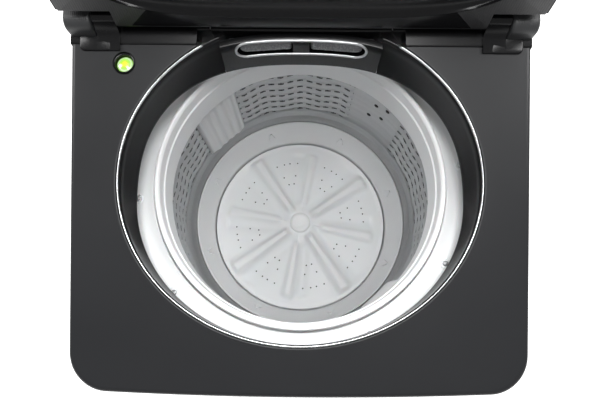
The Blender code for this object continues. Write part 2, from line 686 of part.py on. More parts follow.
def make_lid():
    """Lid: moulded outer frame, glass pane laid in it, inner panel, and two hinge pins held in its knuckles."""
    t = LID_HALF_THICKNESS
    ref = lid_loop(0.0, 0.0)
    round_over = 0.005
    seat = -t + WALL + GLASS_THICKNESS + GAP
    sections = [lid_loop(0.0, t - 0.002), lid_loop(0.0, -t + round_over), lid_loop(round_over * 0.3,
                -t + round_over * 0.3), lid_loop(round_over, -t), window_loop(ref, 0.0, -t),
                window_loop(ref, 0.0, -t + WALL), lid_loop(WALL + 0.001, -t + WALL), lid_loop(WALL, t - 0.002)]
    frame = loft("lid_frame", sections, GRAPHITE, close=True)
    pane = 0.015
    glass = loft("lid_glass", [window_loop(ref, pane, -t + WALL + GAP),
                               window_loop(ref, pane, seat)], GLASS)
    rim = WALL + GAP
    inner = loft("lid_inner_panel", [lid_loop(rim, t - 0.010), lid_loop(rim, t - 0.001),
                                     lid_loop(rim + 0.002, t), window_loop(ref, 0.010, t), window_loop(ref, 0.004, t - 0.001),
                                     window_loop(ref, 0.0, seat + GAP), window_loop(ref, 0.004, seat + GAP),
                                     window_loop(ref, 0.010, t - WALL), lid_loop(rim + WALL, t - WALL),
                                     lid_loop(rim + WALL, t - 0.010)], BLACK, close=True)
    for side in (-1, 1):
        low, high = sorted((side * (HINGE_INNER - 0.0015), side * WIDTH))
        knuckle_in = HINGE_INNER - 0.022
        inside, outside = sorted((side * knuckle_in, side * (HINGE_INNER - 0.0015)))
        heel, toe, top = -LID_HEEL + 0.0005, 0.010, t - 2 * WALL
        knuckle = box("knuckle", (inside, heel, -t + 0.001), (outside, toe, top), GRAPHITE)
        combine(frame, knuckle, "UNION")
        room = box("knuckle_room", (inside - GAP, heel - 0.05, -t), (outside + GAP, toe + GAP, top + GAP),
                   BLACK)
        combine(inner, room, "DIFFERENCE")
        for target in (frame, inner):
            notch = box("hinge_notch", (low, -0.05, -0.05), (high, HINGE_NOTCH, 0.05), GRAPHITE)
            combine(target, notch, "DIFFERENCE")
        bore = cylinder("pin_bore", (side * (knuckle_in - 0.005), 0.0, 0.0),
                        (side * (HINGE_OUTER + 0.003), 0.0, 0.0), PIN_RADIUS + GAP, GRAPHITE, 16)
        combine(frame, bore, "DIFFERENCE")
        word = "left" if side < 0 else "right"
        pin = cylinder(f"hinge_pin_{word}", (side * (knuckle_in + GAP), 0.0, 0.0),
                       (side * (HINGE_OUTER - 0.003), 0.0, 0.0), PIN_RADIUS, ZINC, 16)
        move(pin, lid_matrix())
        centre_origin(pin, hinge_point())
    for piece in (frame, glass, inner):
        move(piece, lid_matrix())
        centre_origin(piece, hinge_point())


def make_hinge_brackets():
    """Two fixed hinge blocks on the fascia; the lid's pins turn in them."""
    hinge = hinge_point()
    for side, word in ((-1, "left"), (1, "right")):
        low, high = sorted((side * HINGE_INNER, side * HINGE_OUTER))
        outline_points = []
        foot_front, foot_back = DRUM_Y + FASCIA_FRONT - 0.008, hinge.y + 0.011
        foot_step = foot_front + 0.016
        outline_points.append((foot_front, deck_z(foot_front) + 0.0028))
        outline_points.append((foot_step, deck_z(foot_step) + 0.0032))
        crown = 0.0095
        for i in range(9):
            angle = pi - pi * i / 8
            outline_points.append((hinge.y + crown * cos(angle), hinge.z + crown * sin(angle)))
        outline_points.append((foot_back, fascia_z(foot_back) + GAP))
        outline_points.append((foot_front, fascia_z(foot_front) + GAP))
        loops = [[(x, y, z) for y, z in outline_points] for x in (low, high)]
        bracket = loft(f"hinge_bracket_{word}", loops, BLACK)
        bore = cylinder("bracket_bore", (low - 0.01, hinge.y, hinge.z), (high + 0.01, hinge.y, hinge.z),
                        PIN_RADIUS + 0.0003, BLACK, 16)
        combine(bracket, bore, "DIFFERENCE")


# ---------------------------------------------------------------- tub and suspension

def make_tub():
    """Plastic outer tub with four suspension ears, and the flanged cover on its rim."""
    wall = 0.0035
    r = TUB_RADIUS
    floor, top = drop(TUB_FLOOR), drop(TUB_TOP)
    flange = r + 0.006
    section = [(flange, top), (flange, top - 0.008), (r, top - 0.012), (r - 0.004, floor + 0.040),
               (r - 0.030, floor), (BEARING_RADIUS, floor), (BEARING_RADIUS, floor + 0.006),
               (r - 0.032, floor + wall), (r - 0.004 - wall, floor + 0.042), (r - wall, top)]
    tub = turned("outer_tub", section, WHITE)
    reach = SUSPENSION_OFFSET * sqrt(2)
    for i in range(4):
        angle = pi / 4 + i * pi / 2
        spin = Matrix.Translation((0.0, DRUM_Y, 0.0)) @ Matrix.Rotation(angle, 4, "Z")
        ear = box("ear", (r - 0.010, -0.022, drop(EAR_DROP)),
                  (reach + 0.018, 0.022, drop(EAR_DROP) + EAR_HEIGHT), WHITE)
        move(ear, spin)
        combine(tub, ear, "UNION")
        place = spin @ Vector((reach, 0.0, 0.0))
        hole = cylinder("rod_hole", (place.x, place.y, drop(EAR_DROP) - 0.02),
                        (place.x, place.y, drop(EAR_DROP) + EAR_HEIGHT + 0.02), ROD_RADIUS + 0.003, WHITE, 16)
        combine(tub, hole, "DIFFERENCE")
    cover_top = drop(COVER_TOP)
    low = top + GAP
    inner = RING_INNER + 0.0115
    turned("tub_cover", [(inner, cover_top - 0.0006), (inner + 0.002, cover_top), (r - 0.002, cover_top),
                         (flange, cover_top - 0.006), (flange, low), (flange - WALL, low),
                         (flange - WALL, cover_top - 0.007), (r - 0.004, cover_top - WALL),
                         (inner, cover_top - WALL)], WHITE)


def make_suspension():
    """Four hanging rods with a spring and a bottom cup each; the tub's ears rest on the springs."""
    names = ("front_left", "front_right", "rear_right", "rear_left")
    signs = ((-1, -1), (1, -1), (1, 1), (-1, 1))
    seat = drop(EAR_DROP)
    cup_top = seat - SPRING_LENGTH
    for name, (sx, sy) in zip(names, signs):
        x, y = sx * SUSPENSION_OFFSET, DRUM_Y + sy * SUSPENSION_OFFSET
        head = CABINET_TOP - 0.020
        section = [(0.0, cup_top - 0.008), (0.018, cup_top - 0.008), (0.018, cup_top), (ROD_RADIUS, cup_top),
                   (ROD_RADIUS, head), (0.010, head + 0.006), (0.010, head + 0.016), (0.0, head + 0.018)]
        turned(f"suspension_rod_{name}", section, ZINC, (x, y), 14)
        spring_coil(f"suspension_spring_{name}", x, y, cup_top + GAP + SPRING_WIRE, seat - GAP - SPRING_WIRE)


def spring_coil(name, x, y, low, high):
    """A helix of round wire, capped at both ends."""
    around, sides = 9, 4
    total = SPRING_TURNS * around
    bm = bmesh.new()
    rings = []
    for i in range(total + 1):
        angle = 2 * pi * i / around
        height = low + (high - low) * i / total
        ring = []
        for k in range(sides):
            turn = 2 * pi * k / sides
            radius = SPRING_RADIUS + SPRING_WIRE * cos(turn)
            ring.append(bm.verts.new((x + radius * cos(angle), y + radius * sin(angle),
                                      height + SPRING_WIRE * sin(turn))))
        rings.append(ring)
    bridge(bm, rings, False)
    bm.faces.new(rings[0])
    bm.faces.new(rings[-1])
    return add_object(name, bm, ZINC, 60.0)


# ---------------------------------------------------------------- drum

def make_drum():
    """Spinning basket: steel wall, balance ring on top, moulded base, hub flange and hollow spin shaft."""
    r, t = DRUM_RADIUS, DRUM_SHEET
    ring_top, ring_low = drop(RING_TOP), drop(RING_BOTTOM)
    ridge = RING_INNER + 0.008
    turned("balance_ring", [(ridge - 0.005, ring_top), (ridge - 0.002, ring_top), (ridge, ring_top - 0.003),
                            (ridge, drop(COVER_TOP) - 0.009), (RING_OUTER - 0.003, drop(COVER_TOP) - 0.011),
                            (RING_OUTER, drop(COVER_TOP) - 0.014), (RING_OUTER, ring_low + 0.003),
                            (RING_OUTER - 0.003, ring_low), (RING_INNER + 0.002, ring_low),
                            (RING_INNER - 0.0015, ring_low + 0.060), (RING_INNER, ring_top - 0.004)], WHITE)
    foot, waist = drop(DRUM_FOOT_DROP), drop(DRUM_WAIST_DROP)
    foot_r = DRUM_FOOT_RADIUS
    top = ring_low - 2 * GAP
    turned("steel_drum", [(r, top), (r, waist), (r - 0.003, waist - 0.012), (foot_r, foot),
                          (foot_r, foot - 0.030), (foot_r + t, foot - 0.030), (foot_r + t, foot + t),
                          (r - 0.003 + t, waist - 0.012), (r + t, waist), (r + t, top)], STEEL)
    floor = drop(DRUM_FLOOR_DROP)
    bowl = BASE_BOWL_RADIUS
    edge = foot_r - 0.001
    thick = 0.004
    hub = 0.040
    base = [(edge - 0.002, foot), (edge - 0.006, foot - 0.001), (bowl + 0.002, floor + 0.026), (bowl, floor),
            (hub, floor), (hub, floor - thick), (bowl + 0.003, floor - thick), (bowl + 0.008, floor + 0.020),
            (edge, foot - 0.030), (edge, foot - 0.002)]
    turned("drum_base", base, WHITE)
    shaft = SPIN_SHAFT_RADIUS + SHAFT_CLEARANCE
    under = floor - thick - GAP
    turned("hub_flange", [(bowl - 0.010, under), (bowl - 0.010, under - 0.004), (0.050, under - 0.006),
                          (0.032, under - 0.010), (shaft, under - 0.010), (shaft, floor),
                          (hub - 0.003, floor), (hub - 0.003, under)], STEEL, steps=32)
    bore = WASH_SHAFT_RADIUS + 0.0025
    low = drop(MOTOR_DROP + 0.030)
    turned("spin_shaft", [(SPIN_SHAFT_RADIUS, floor), (SPIN_SHAFT_RADIUS, low), (bore, low), (bore, floor)],
           STEEL, steps=24)


def make_wall_panels():
    """Two moulded panels on the drum wall, opposite each other: a mixing panel and a lint filter panel."""
    height_low, height_high = drop(DRUM_WAIST_DROP) + 0.004, drop(RING_BOTTOM) - 0.004
    half_angle = radians(11.5)
    for name, azimuth in (("mixer_panel", radians(133.0)), ("filter_panel", radians(-47.0))):
        loops = []
        for height, depth in ((height_low, 0.006), (height_low + 0.015, 0.014), (height_high - 0.03, 0.012),
                              (height_high, 0.006)):
            back, face = [], []
            for i in range(9):
                share = i / 8
                angle = azimuth + half_angle * (2 * share - 1)
                bulge = depth * sin(pi * share) ** 0.5 if 0 < i < 8 else 0.0
                for points, radius in ((back, DRUM_RADIUS - 0.001), (face, DRUM_RADIUS - 0.004 - bulge)):
                    points.append((radius * cos(angle), DRUM_Y + radius * sin(angle), height))
            loops.append(back + list(reversed(face)))
        loft(name, loops, WHITE)


# ---------------------------------------------------------------- pulsator and drive

def pulsator_rise(radius, angle):
    """Height of the pulsator's upper surface above its rim: a low dome with ribs."""
    share = radius / PULSATOR_RADIUS
    dome = PULSATOR_RISE * max(0.0, 1 - share) ** 1.6
    fade = max(0.0, sin(pi * min(1.0, max(0.0, (share - 0.08) / 0.90)))) ** 0.8
    major = max(0.0, cos(2 * (angle - radians(35.0)))) ** 14
    minor = max(0.0, cos(2 * (angle - radians(80.0)))) ** 20
    return dome + fade * (0.010 * major + 0.006 * minor)


def make_pulsator():
    """Pulsator plate with ribs, its centre cap, the wash shaft below it, and the motor's rotor."""
    rim = drop(PULSATOR_RIM_DROP)
    thick = 0.004
    steps = 48
    bore = 0.012
    radii = [bore + (PULSATOR_RADIUS - bore) * share for share in (0.0, 0.161, 0.362, 0.563, 0.764, 0.920, 1.0)]
    loops = []
    for radius in radii:
        angles = [2 * pi * i / steps for i in range(steps)]
        loops.append([(radius * cos(a), DRUM_Y + radius * sin(a), rim + pulsator_rise(radius, a))
                      for a in angles])
    for radius in reversed(radii):
        lower = 0.008 if radius == radii[-1] else thick
        angles = [2 * pi * i / steps for i in range(steps)]
        loops.append([(radius * cos(a), DRUM_Y + radius * sin(a), rim + pulsator_rise(radius, a) - lower)
                      for a in angles])
    loft("pulsator", loops, WHITE, close=True)
    crown = rim + pulsator_rise(bore, 0.0) + 0.002
    cap = 0.022
    turned("pulsator_cap", [(0.0, crown), (cap * 0.95, crown - 0.0005), (cap, crown + 0.001),
                            (cap - 0.002, crown + 0.004),
                            (0.010, crown + 0.0055), (0.0, crown + 0.0055)], WHITE, steps=32)
    r = WASH_SHAFT_RADIUS
    low = drop(MOTOR_DROP + MOTOR_HEIGHT + 0.020)
    turned("wash_shaft", [(0.0, crown - GAP), (r, crown - GAP), (r, low), (0.0, low)], STEEL, steps=20)
    cup = STATOR_RADIUS + 0.012
    top, floor = drop(MOTOR_DROP - 0.002), drop(MOTOR_DROP + MOTOR_HEIGHT + 0.006)
    turned("motor_rotor", [(cup, top), (cup, floor - 0.003), (r + SHAFT_CLEARANCE, floor - 0.003),
                           (r + SHAFT_CLEARANCE, floor), (cup - 0.006, floor), (cup - 0.006, top)],
           STEEL, steps=32)


def make_bearings():
    """Bearing housing under the tub, two bearings and the seal round the spin shaft, and the motor's stator."""
    top = drop(TUB_FLOOR) - GAP
    low = drop(MOTOR_DROP + 0.022)
    outer = BEARING_RADIUS
    boss = outer + 0.010
    plate = 0.100
    turned("bearing_housing", [(plate, top), (plate, top - 0.006), (boss, top - 0.014), (boss, low),
                               (outer, low), (outer, top)], STEEL, steps=32)
    shaft = SPIN_SHAFT_RADIUS + SHAFT_CLEARANCE
    ring = outer - SHAFT_CLEARANCE
    for name, height, depth, material in (("shaft_seal", top + 0.004, 0.008, RUBBER),
                                          ("upper_bearing", top - 0.006, 0.014, STEEL),
                                          ("lower_bearing", low + 0.016, 0.014, STEEL)):
        turned(name, [(ring, height), (ring, height - depth), (shaft, height - depth), (shaft, height)],
               material, steps=24)
    top, low = drop(MOTOR_DROP), drop(MOTOR_DROP + MOTOR_HEIGHT)
    turned("stator", [(STATOR_RADIUS, top), (STATOR_RADIUS, low), (boss + GAP, low), (boss + GAP, top)],
           COPPER, steps=32)


def make_pump():
    """Drain pump on the base rail: volute and motor in one turned body."""
    x, y = WIDTH / 2 - 0.090, REAR - CABINET_REAR_INSET - 0.115
    low = BASE_TOP + GAP
    turned("drain_pump", [(0.0, low), (0.034, low), (0.034, low + 0.040), (0.022, low + 0.046),
                          (0.022, low + 0.090), (0.0, low + 0.092)], BLACK, (x, y), 24)


make_base()
make_feet()
make_deck()
make_level()
make_funnel()
make_trim()
make_rear()
make_drawer()
make_inlet()
make_lid()
make_hinge_brackets()
make_tub()
make_suspension()
make_drum()
make_wall_panels()
make_pulsator()
make_bearings()
make_pump()
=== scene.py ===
"""Looks of a top load washing machine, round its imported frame. Units are metres, +Z up, -Y to the user."""
from math import atan2, cos, exp, floor, pi, radians, sin, sqrt

import bmesh
import bpy
from mathutils import Matrix, Vector


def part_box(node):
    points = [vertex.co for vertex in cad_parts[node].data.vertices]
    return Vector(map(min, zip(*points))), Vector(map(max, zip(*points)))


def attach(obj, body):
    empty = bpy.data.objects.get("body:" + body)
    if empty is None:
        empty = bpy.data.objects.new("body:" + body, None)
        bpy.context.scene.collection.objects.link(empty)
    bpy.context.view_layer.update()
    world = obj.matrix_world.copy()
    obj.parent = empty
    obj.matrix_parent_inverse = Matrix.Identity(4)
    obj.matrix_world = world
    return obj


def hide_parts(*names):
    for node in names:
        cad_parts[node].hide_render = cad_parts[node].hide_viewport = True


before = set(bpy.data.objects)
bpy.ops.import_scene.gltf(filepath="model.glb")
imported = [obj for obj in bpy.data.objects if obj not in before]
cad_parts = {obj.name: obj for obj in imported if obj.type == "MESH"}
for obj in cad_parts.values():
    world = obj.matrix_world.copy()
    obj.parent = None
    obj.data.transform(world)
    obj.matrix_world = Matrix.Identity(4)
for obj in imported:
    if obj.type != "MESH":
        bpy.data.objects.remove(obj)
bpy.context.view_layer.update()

# ------------------------------------------------------------
# Top deck. One graphite-coloured moulding in a fine satin grain, sloping towards the user, with a
# skirt that sits on the steel cabinet and a large oval mouth. It is snapped and screwed from below.
deck_low, deck_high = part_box("top_deck")
drum_low, drum_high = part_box("steel_drum")
HALF_WIDTH = deck_high.x
FRONT, REAR = deck_low.y, deck_high.y
DRUM_Y = (drum_low.y + drum_high.y) / 2
DECK_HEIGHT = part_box("balance_ring")[1].z + 0.062
DECK_SLOPE = sin(radians(11.8)) / cos(radians(11.8))
FRONT_BULGE = 0.008
FRONT_CORNER, REAR_CORNER = 0.048, 0.020
MOUTH_A, MOUTH_B, MOUTH_Y = 0.2435, 0.2130, DRUM_Y - 0.020
FASCIA_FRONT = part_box("rear_fascia")[0].y
SHELF = DECK_HEIGHT + 0.005


def deck_z(y):
    """Height of the deck plane."""
    return DECK_HEIGHT + (y - DRUM_Y) * DECK_SLOPE


def piece(name, verts, faces, material, sharp=40.0):
    """A mesh object with outward faces, smooth where its faces meet at less than the sharp angle."""
    bm = bmesh.new()
    made = [bm.verts.new(v) for v in verts]
    for face in faces:
        bm.faces.new([made[i] for i in face])
    bmesh.ops.recalc_face_normals(bm, faces=bm.faces)
    mesh = bpy.data.meshes.new(name)
    bm.to_mesh(mesh)
    bm.free()
    thing = bpy.data.objects.new(name, mesh)
    bpy.context.scene.collection.objects.link(thing)
    if material:
        mesh.materials.append(material)
    mesh.shade_smooth()
    mesh.set_sharp_from_angle(angle=radians(sharp))
    return thing


def ring_faces(low, high, count):
    """Four-sided faces between two rings of points, given by the number of each ring's first point."""
    return [(low + i, low + (i + 1) % count, high + (i + 1) % count, high + i) for i in range(count)]


def circle(x, y, radius, count):
    """Points round a circle."""
    return [(x + radius * cos(2 * pi * i / count), y + radius * sin(2 * pi * i / count))
            for i in range(count)]


def lofted(name, loops, material, close=False, sharp=40.0):
    """Join loops of points that match one for one; the section closes on itself, or the ends are capped."""
    count = len(loops[0])
    verts = [p for loop in loops for p in loop]
    spans = list(range(len(loops) - 1)) + ([len(loops) - 1] if close else [])
    faces = []
    for k in spans:
        faces += ring_faces(k * count, (k + 1) % len(loops) * count, count)
    if not close:
        faces += [tuple(range(count)), tuple(range(len(verts) - count, len(verts)))]
    return piece(name, verts, faces, material, sharp)


def cut(target, cutter, operation="DIFFERENCE"):
    """Apply an exact Boolean, then drop the other object."""
    modifier = target.modifiers.new("cut", "BOOLEAN")
    modifier.operation = operation
    modifier.solver = "EXACT"
    modifier.object = cutter
    made = bpy.data.meshes.new_from_object(target.evaluated_get(bpy.context.evaluated_depsgraph_get()))
    target.modifiers.clear()
    target.data = made
    bpy.data.objects.remove(cutter)
    made.shade_smooth()
    made.set_sharp_from_angle(angle=radians(40))


def block(low, high):
    """A plain box, used as a cutter."""
    (x0, y0, z0), (x1, y1, z1) = low, high
    return lofted("block", [[(x0, y0, z), (x1, y0, z), (x1, y1, z), (x0, y1, z)] for z in (z0, z1)], None)


def arc(cx, cy, radius, start, steps):
    """A quarter turn of points round a corner's centre."""
    return [(cx + radius * cos(start + pi / 2 * i / steps), cy + radius * sin(start + pi / 2 * i / steps))
            for i in range(steps + 1)]


def round_box(x0, x1, y0, y1, front, rear, steps=12, longest=0.012):
    """Outline of a rectangle with round corners, its long sides divided."""
    corners = (arc(x0 + front, y0 + front, front, pi, steps)
               + arc(x1 - front, y0 + front, front, 1.5 * pi, steps)
               + arc(x1 - rear, y1 - rear, rear, 0.0, steps) + arc(x0 + rear, y1 - rear, rear, pi / 2, steps))
    result = []
    for here, there in zip(corners, corners[1:] + corners[:1]):
        parts = max(1, round(sqrt((there[0] - here[0]) ** 2 + (there[1] - here[1]) ** 2) / longest))
        result += [(here[0] + (there[0] - here[0]) * i / parts, here[1] + (there[1] - here[1]) * i / parts)
                   for i in range(parts)]
    return result


PLAN = round_box(-HALF_WIDTH, HALF_WIDTH, FRONT + FRONT_BULGE, REAR, FRONT_CORNER, REAR_CORNER)


def plan_loop(inset, height, rear_inset=None):
    """The machine's bowed outline, moved inwards; height is a number or a function of y."""
    middle = (FRONT + FRONT_BULGE + REAR) / 2
    reach = REAR - middle
    loop = []
    for x, y in PLAN:
        side_inset = inset if y < middle or rear_inset is None else rear_inset
        new_y = middle + (y - middle) * (reach - side_inset) / reach
        if y < middle:
            new_y -= FRONT_BULGE * (1.0 - (x / HALF_WIDTH) ** 2) * (middle - y) / reach
        new_x = x * (HALF_WIDTH - inset) / HALF_WIDTH
        loop.append((new_x, new_y, height(new_y) if callable(height) else height))
    return loop


def mouth_loop(grow, below):
    """The oval mouth, one point for each point of the outline."""
    a, b = MOUTH_A + grow, MOUTH_B + grow
    loop = []
    for x, y in PLAN:
        angle = atan2((y - MOUTH_Y) / b, x / a)
        new_y = MOUTH_Y + b * sin(angle)
        loop.append((a * cos(angle), new_y, deck_z(new_y) - below))
    return loop


class Wire:
    """The output of a shader node, usable in plain arithmetic."""

    def __init__(self, finish, socket):
        self.finish, self.socket = finish, socket

    def math(self, operation, *values):
        return self.finish.node("ShaderNodeMath", {"operation": operation}, dict(enumerate((self, *values))))

    def __add__(self, other):
        return self.math("ADD", other)

    def __mul__(self, other):
        return self.math("MULTIPLY", other)

    def __sub__(self, other):
        return self.math("SUBTRACT", other)

    def __truediv__(self, other):
        return self.math("DIVIDE", other)

    def __rsub__(self, other):
        return self.finish.node("ShaderNodeMath", {"operation": "SUBTRACT"}, {0: other, 1: self})

    def __rtruediv__(self, other):
        return self.finish.node("ShaderNodeMath", {"operation": "DIVIDE"}, {0: other, 1: self})

    def __gt__(self, other):
        return self.math("GREATER_THAN", other)

    def __lt__(self, other):
        return self.math("LESS_THAN", other)

    __radd__, __rmul__ = __add__, __mul__

    def smooth(self, low, high):
        """0 below low, 1 above high, and smooth between them."""
        settings = {"interpolation_type": "SMOOTHSTEP"}
        return self.finish.node("ShaderNodeMapRange", settings,
                                {"Value": self, "From Min": low, "From Max": high})


class Finish:
    """A procedural material on a Principled shader."""

    def __init__(self, name, **shader):
        self.material = bpy.data.materials.new(name)
        self.material.use_nodes = True
        self.tree = self.material.node_tree
        self.shader = self.tree.nodes["Principled BSDF"]
        self.feed(**shader)
        coordinates = self.node("ShaderNodeTexCoord", {}, {}, "Object")
        self.place = coordinates
        split = self.tree.nodes.new("ShaderNodeSeparateXYZ")
        self.tree.links.new(coordinates.socket, split.inputs[0])
        self.x, self.y, self.z = (Wire(self, out) for out in split.outputs)

    def node(self, kind, settings, inputs, out=0):
        """Add one node: its settings first, then the values or links of its sockets."""
        made = self.tree.nodes.new(kind)
        for key, value in settings.items():
            if key == "stops":
                ramp = made.color_ramp
                while len(ramp.elements) < len(value):
                    ramp.elements.new(1.0)
                for element, (position, colour) in zip(ramp.elements, value):
                    element.position, element.color = position, (*colour, 1.0)
            else:
                setattr(made, key, value)
        for key, value in inputs.items():
            self.connect(made.inputs[key], value)
        return Wire(self, made.outputs[out])

    def connect(self, socket, value):
        if isinstance(value, Wire):
            self.tree.links.new(value.socket, socket)
        elif socket.type == "RGBA" and not isinstance(value, (int, float)):
            socket.default_value = (*value, 1.0)
        else:
            socket.default_value = value

    def feed(self, **sockets):
        """Set the shader's sockets; underscores stand for spaces."""
        for key, value in sockets.items():
            self.connect(self.shader.inputs[key.replace("_", " ")], value)

    def noise(self, scale, detail=2.0, stretch=(1.0, 1.0, 1.0), rough=0.5):
        mapped = self.node("ShaderNodeMapping", {}, {"Vector": self.place, "Scale": stretch})
        return self.node("ShaderNodeTexNoise", {}, {"Vector": mapped, "Scale": scale, "Detail": detail,
                                                    "Roughness": rough})

    def mix(self, factor, first, second):
        """A colour between two colours."""
        return self.node("ShaderNodeMix", {"data_type": "RGBA"}, {"Factor": factor, 6: first, 7: second}, 2)

    def bump(self, height, distance, strength=1.0):
        """Relief of a height of 0 to 1, in metres."""
        self.feed(Normal=self.node("ShaderNodeBump", {}, {"Height": height, "Distance": distance,
                                                          "Strength": strength}))


def moulded(name, colour, lighter, roughness, grain=900.0, relief=0.00003, coat=0.0, ior=1.5):
    """A moulded plastic: fine spark grain, faint flow marks in the colour, and a handled, uneven gloss."""
    finish = Finish(name, Coat_Weight=coat, Coat_Roughness=0.12, IOR=ior)
    cloud = finish.noise(6.0, 3.0)
    fine = finish.noise(grain, 2.0)
    finish.feed(Base_Color=finish.mix(cloud * 0.6 + fine * 0.4, colour, lighter),
                Roughness=roughness + (cloud - 0.5) * 0.10 + (fine - 0.5) * 0.08)
    finish.bump(fine, relief)
    return finish.material


def place_on(thing, body, slot, *nodes):
    """Let a piece ride on its body and hide the nodes that it stands for; the slot is not used."""
    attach(thing, body)
    if nodes:
        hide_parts(*nodes)
    return thing


graphite = moulded("graphite_satin", (0.011, 0.0115, 0.0128), (0.016, 0.0165, 0.018), 0.35, ior=1.38)
EDGE = 0.006
skirt = [plan_loop(0.0, deck_low.z), plan_loop(0.0, lambda y: deck_z(y) - EDGE)]
for step in range(1, 7):
    turn = pi / 2 * step / 6
    skirt.append(plan_loop(EDGE * (1 - cos(turn)), lambda y: deck_z(y) - EDGE * (1 - sin(turn))))
skirt.append(plan_loop(EDGE + 0.0012, lambda y: deck_z(y)))
lip = [mouth_loop(0.0026, 0.0), mouth_loop(0.0012, 0.0), mouth_loop(0.0004, 0.0003), mouth_loop(0.0, 0.0012),
       mouth_loop(0.0, 0.0120)]
under = [mouth_loop(0.003, 0.0120), mouth_loop(0.003, 0.003), plan_loop(0.004, lambda y: deck_z(y) - EDGE),
         plan_loop(0.003, deck_low.z)]
deck = lofted("deck_moulding", skirt + lip + under, graphite, close=True)
cut(deck, block((-1, FASCIA_FRONT, SHELF), (1, 1, 2)))
cut(deck, block((-HALF_WIDTH + 0.006, FASCIA_FRONT, deck_low.z + 0.02),
                (HALF_WIDTH - 0.006, REAR - 0.006, 2)))
level_low, level_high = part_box("level_cup")
LEVEL = (level_low + level_high) / 2
LEVEL.z = deck_z(LEVEL.y)
LEVEL_RADIUS = (level_high.x - level_low.x) / 2
well = [[(x, y, LEVEL.z + side * 0.03) for x, y in circle(LEVEL.x, LEVEL.y, LEVEL_RADIUS + 0.0003, 64)]
        for side in (-1, 1)]
cut(deck, lofted("well", well, None))
place_on(deck, "root", "graphite_plastic", "top_deck")

# ------------------------------------------------------------
# Chrome trim. A thin plated band that is pressed into the step between the deck and the funnel.
TRIM, TRIM_INSET = 0.0022, 0.0012
chrome = Finish("bright_chrome", Metallic=1.0)
haze = chrome.noise(14.0, 3.0)
chrome.feed(Base_Color=chrome.mix(haze, (0.62, 0.63, 0.64), (0.76, 0.76, 0.77)), Roughness=0.07 + haze * 0.08)
chrome.bump(chrome.noise(120.0), 0.00002)
band = []
for step in range(9):
    turn = pi * step / 8
    band.append(mouth_loop(-TRIM_INSET - TRIM / 2 + TRIM / 2 * cos(turn), -0.0012 * sin(turn)))
band.append(mouth_loop(-TRIM_INSET - TRIM, 0.004))
band.append(mouth_loop(-TRIM_INSET, 0.004))
trim = lofted("mouth_trim", band, chrome.material, close=True)
cut(trim, block((-1, FASCIA_FRONT - 0.0006, 0.5), (1, 1, 2)))
place_on(trim, "root", "chrome_plating", "chrome_trim")

# ------------------------------------------------------------
# Funnel ring. A glossy black moulding that leads laundry from the deck's mouth down past the tub
# cover. Its rear is open, and the drawer front fills the gap flush with it.
black = moulded("black_satin", (0.0030, 0.0030, 0.0034), (0.0055, 0.0055, 0.0062), 0.24, 500.0, 0.000005,
                ior=1.38)
drawer_low, drawer_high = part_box("drawer_front")
DRAWER_HALF = drawer_high.x + 0.001
FUNNEL_LOW = (0.228, 0.1955, 0.197, -0.034)     # half width, reach to the front, reach to the back, shift
FUNNEL_BACK = 0.166


def funnel_point(angle, level, thickness):
    """A point on the funnel's wall; level 0 is the lower edge and 1 the rim at the deck."""
    c, s = cos(angle), sin(angle)
    half, front, back, shift = FUNNEL_LOW
    power, reach = (2.5, back) if s > 0 else (2.0, front)
    stretch = (abs(c) ** power + abs(s) ** power) ** (-1 / power)
    low = Vector((half * c * stretch, shift + reach * s * stretch, 0.0))
    low.z = -0.048 + 0.09 * low.y
    inset = TRIM_INSET + TRIM + 0.0006
    high = Vector(((MOUTH_A - inset) * c, MOUTH_Y - DRUM_Y + (MOUTH_B - inset) * s, 0.0))
    high.y = min(high.y, FUNNEL_BACK + 0.02 * (high.y - FUNNEL_BACK))
    high.z = high.y * DECK_SLOPE - 0.0004
    point = low.lerp(high, level) + Vector((c, s, 0.0)) * thickness
    return point.x, DRUM_Y + point.y, DECK_HEIGHT + point.z


FUNNEL_WALL = 0.0024
profile = [(0.0, 0.0012), (0.02, 0.0002), (0.06, 0.0)]
profile += [(0.1 * k, 0.0009 * sin(pi * 0.1 * k)) for k in range(1, 9)]
profile += [(0.90, -0.0003), (0.96, 0.0), (0.99, 0.0008), (1.0, 0.0018), (1.0, FUNNEL_WALL)]
profile += [(0.75, FUNNEL_WALL), (0.35, FUNNEL_WALL + 0.001), (0.0, FUNNEL_WALL)]
loops = [[funnel_point(2 * pi * i / 288, level, out) for i in range(288)] for level, out in profile]
funnel = lofted("funnel_moulding", loops, black, close=True)
cut(funnel, block((-DRAWER_HALF, DRUM_Y + 0.10, DECK_HEIGHT - 0.2),
                  (DRAWER_HALF, DRUM_Y + 0.25, DECK_HEIGHT + 0.2)))
place_on(funnel, "root", "black_plastic", "funnel_ring")

# ------------------------------------------------------------
# Detergent drawer. The black front follows the funnel's curve; two finger pockets are let into it,
# each with a grey flap, inside one long silver surround. A white tray runs behind.
DRAWER_THICKNESS = 0.009
DRAWER_FLOOR = drawer_low.z
POCKET_IN, POCKET_OUT, POCKET_LOW, POCKET_HIGH = 0.011, 0.086, 0.001, 0.031


def drawer_face(x, height):
    """Depth of the drawer front's outer face."""
    along = (height - DRAWER_FLOOR) / (DECK_HEIGHT - DRAWER_FLOOR + FUNNEL_BACK * DECK_SLOPE)
    share = min(1.0, abs(x) / FUNNEL_LOW[0])
    low = FUNNEL_LOW[3] + FUNNEL_LOW[2] * (1 - share ** 2.5) ** 0.4
    high = FUNNEL_BACK - (FUNNEL_LOW[3] + FUNNEL_LOW[2] - low) * 0.9
    return DRUM_Y + low + (high - low) * along


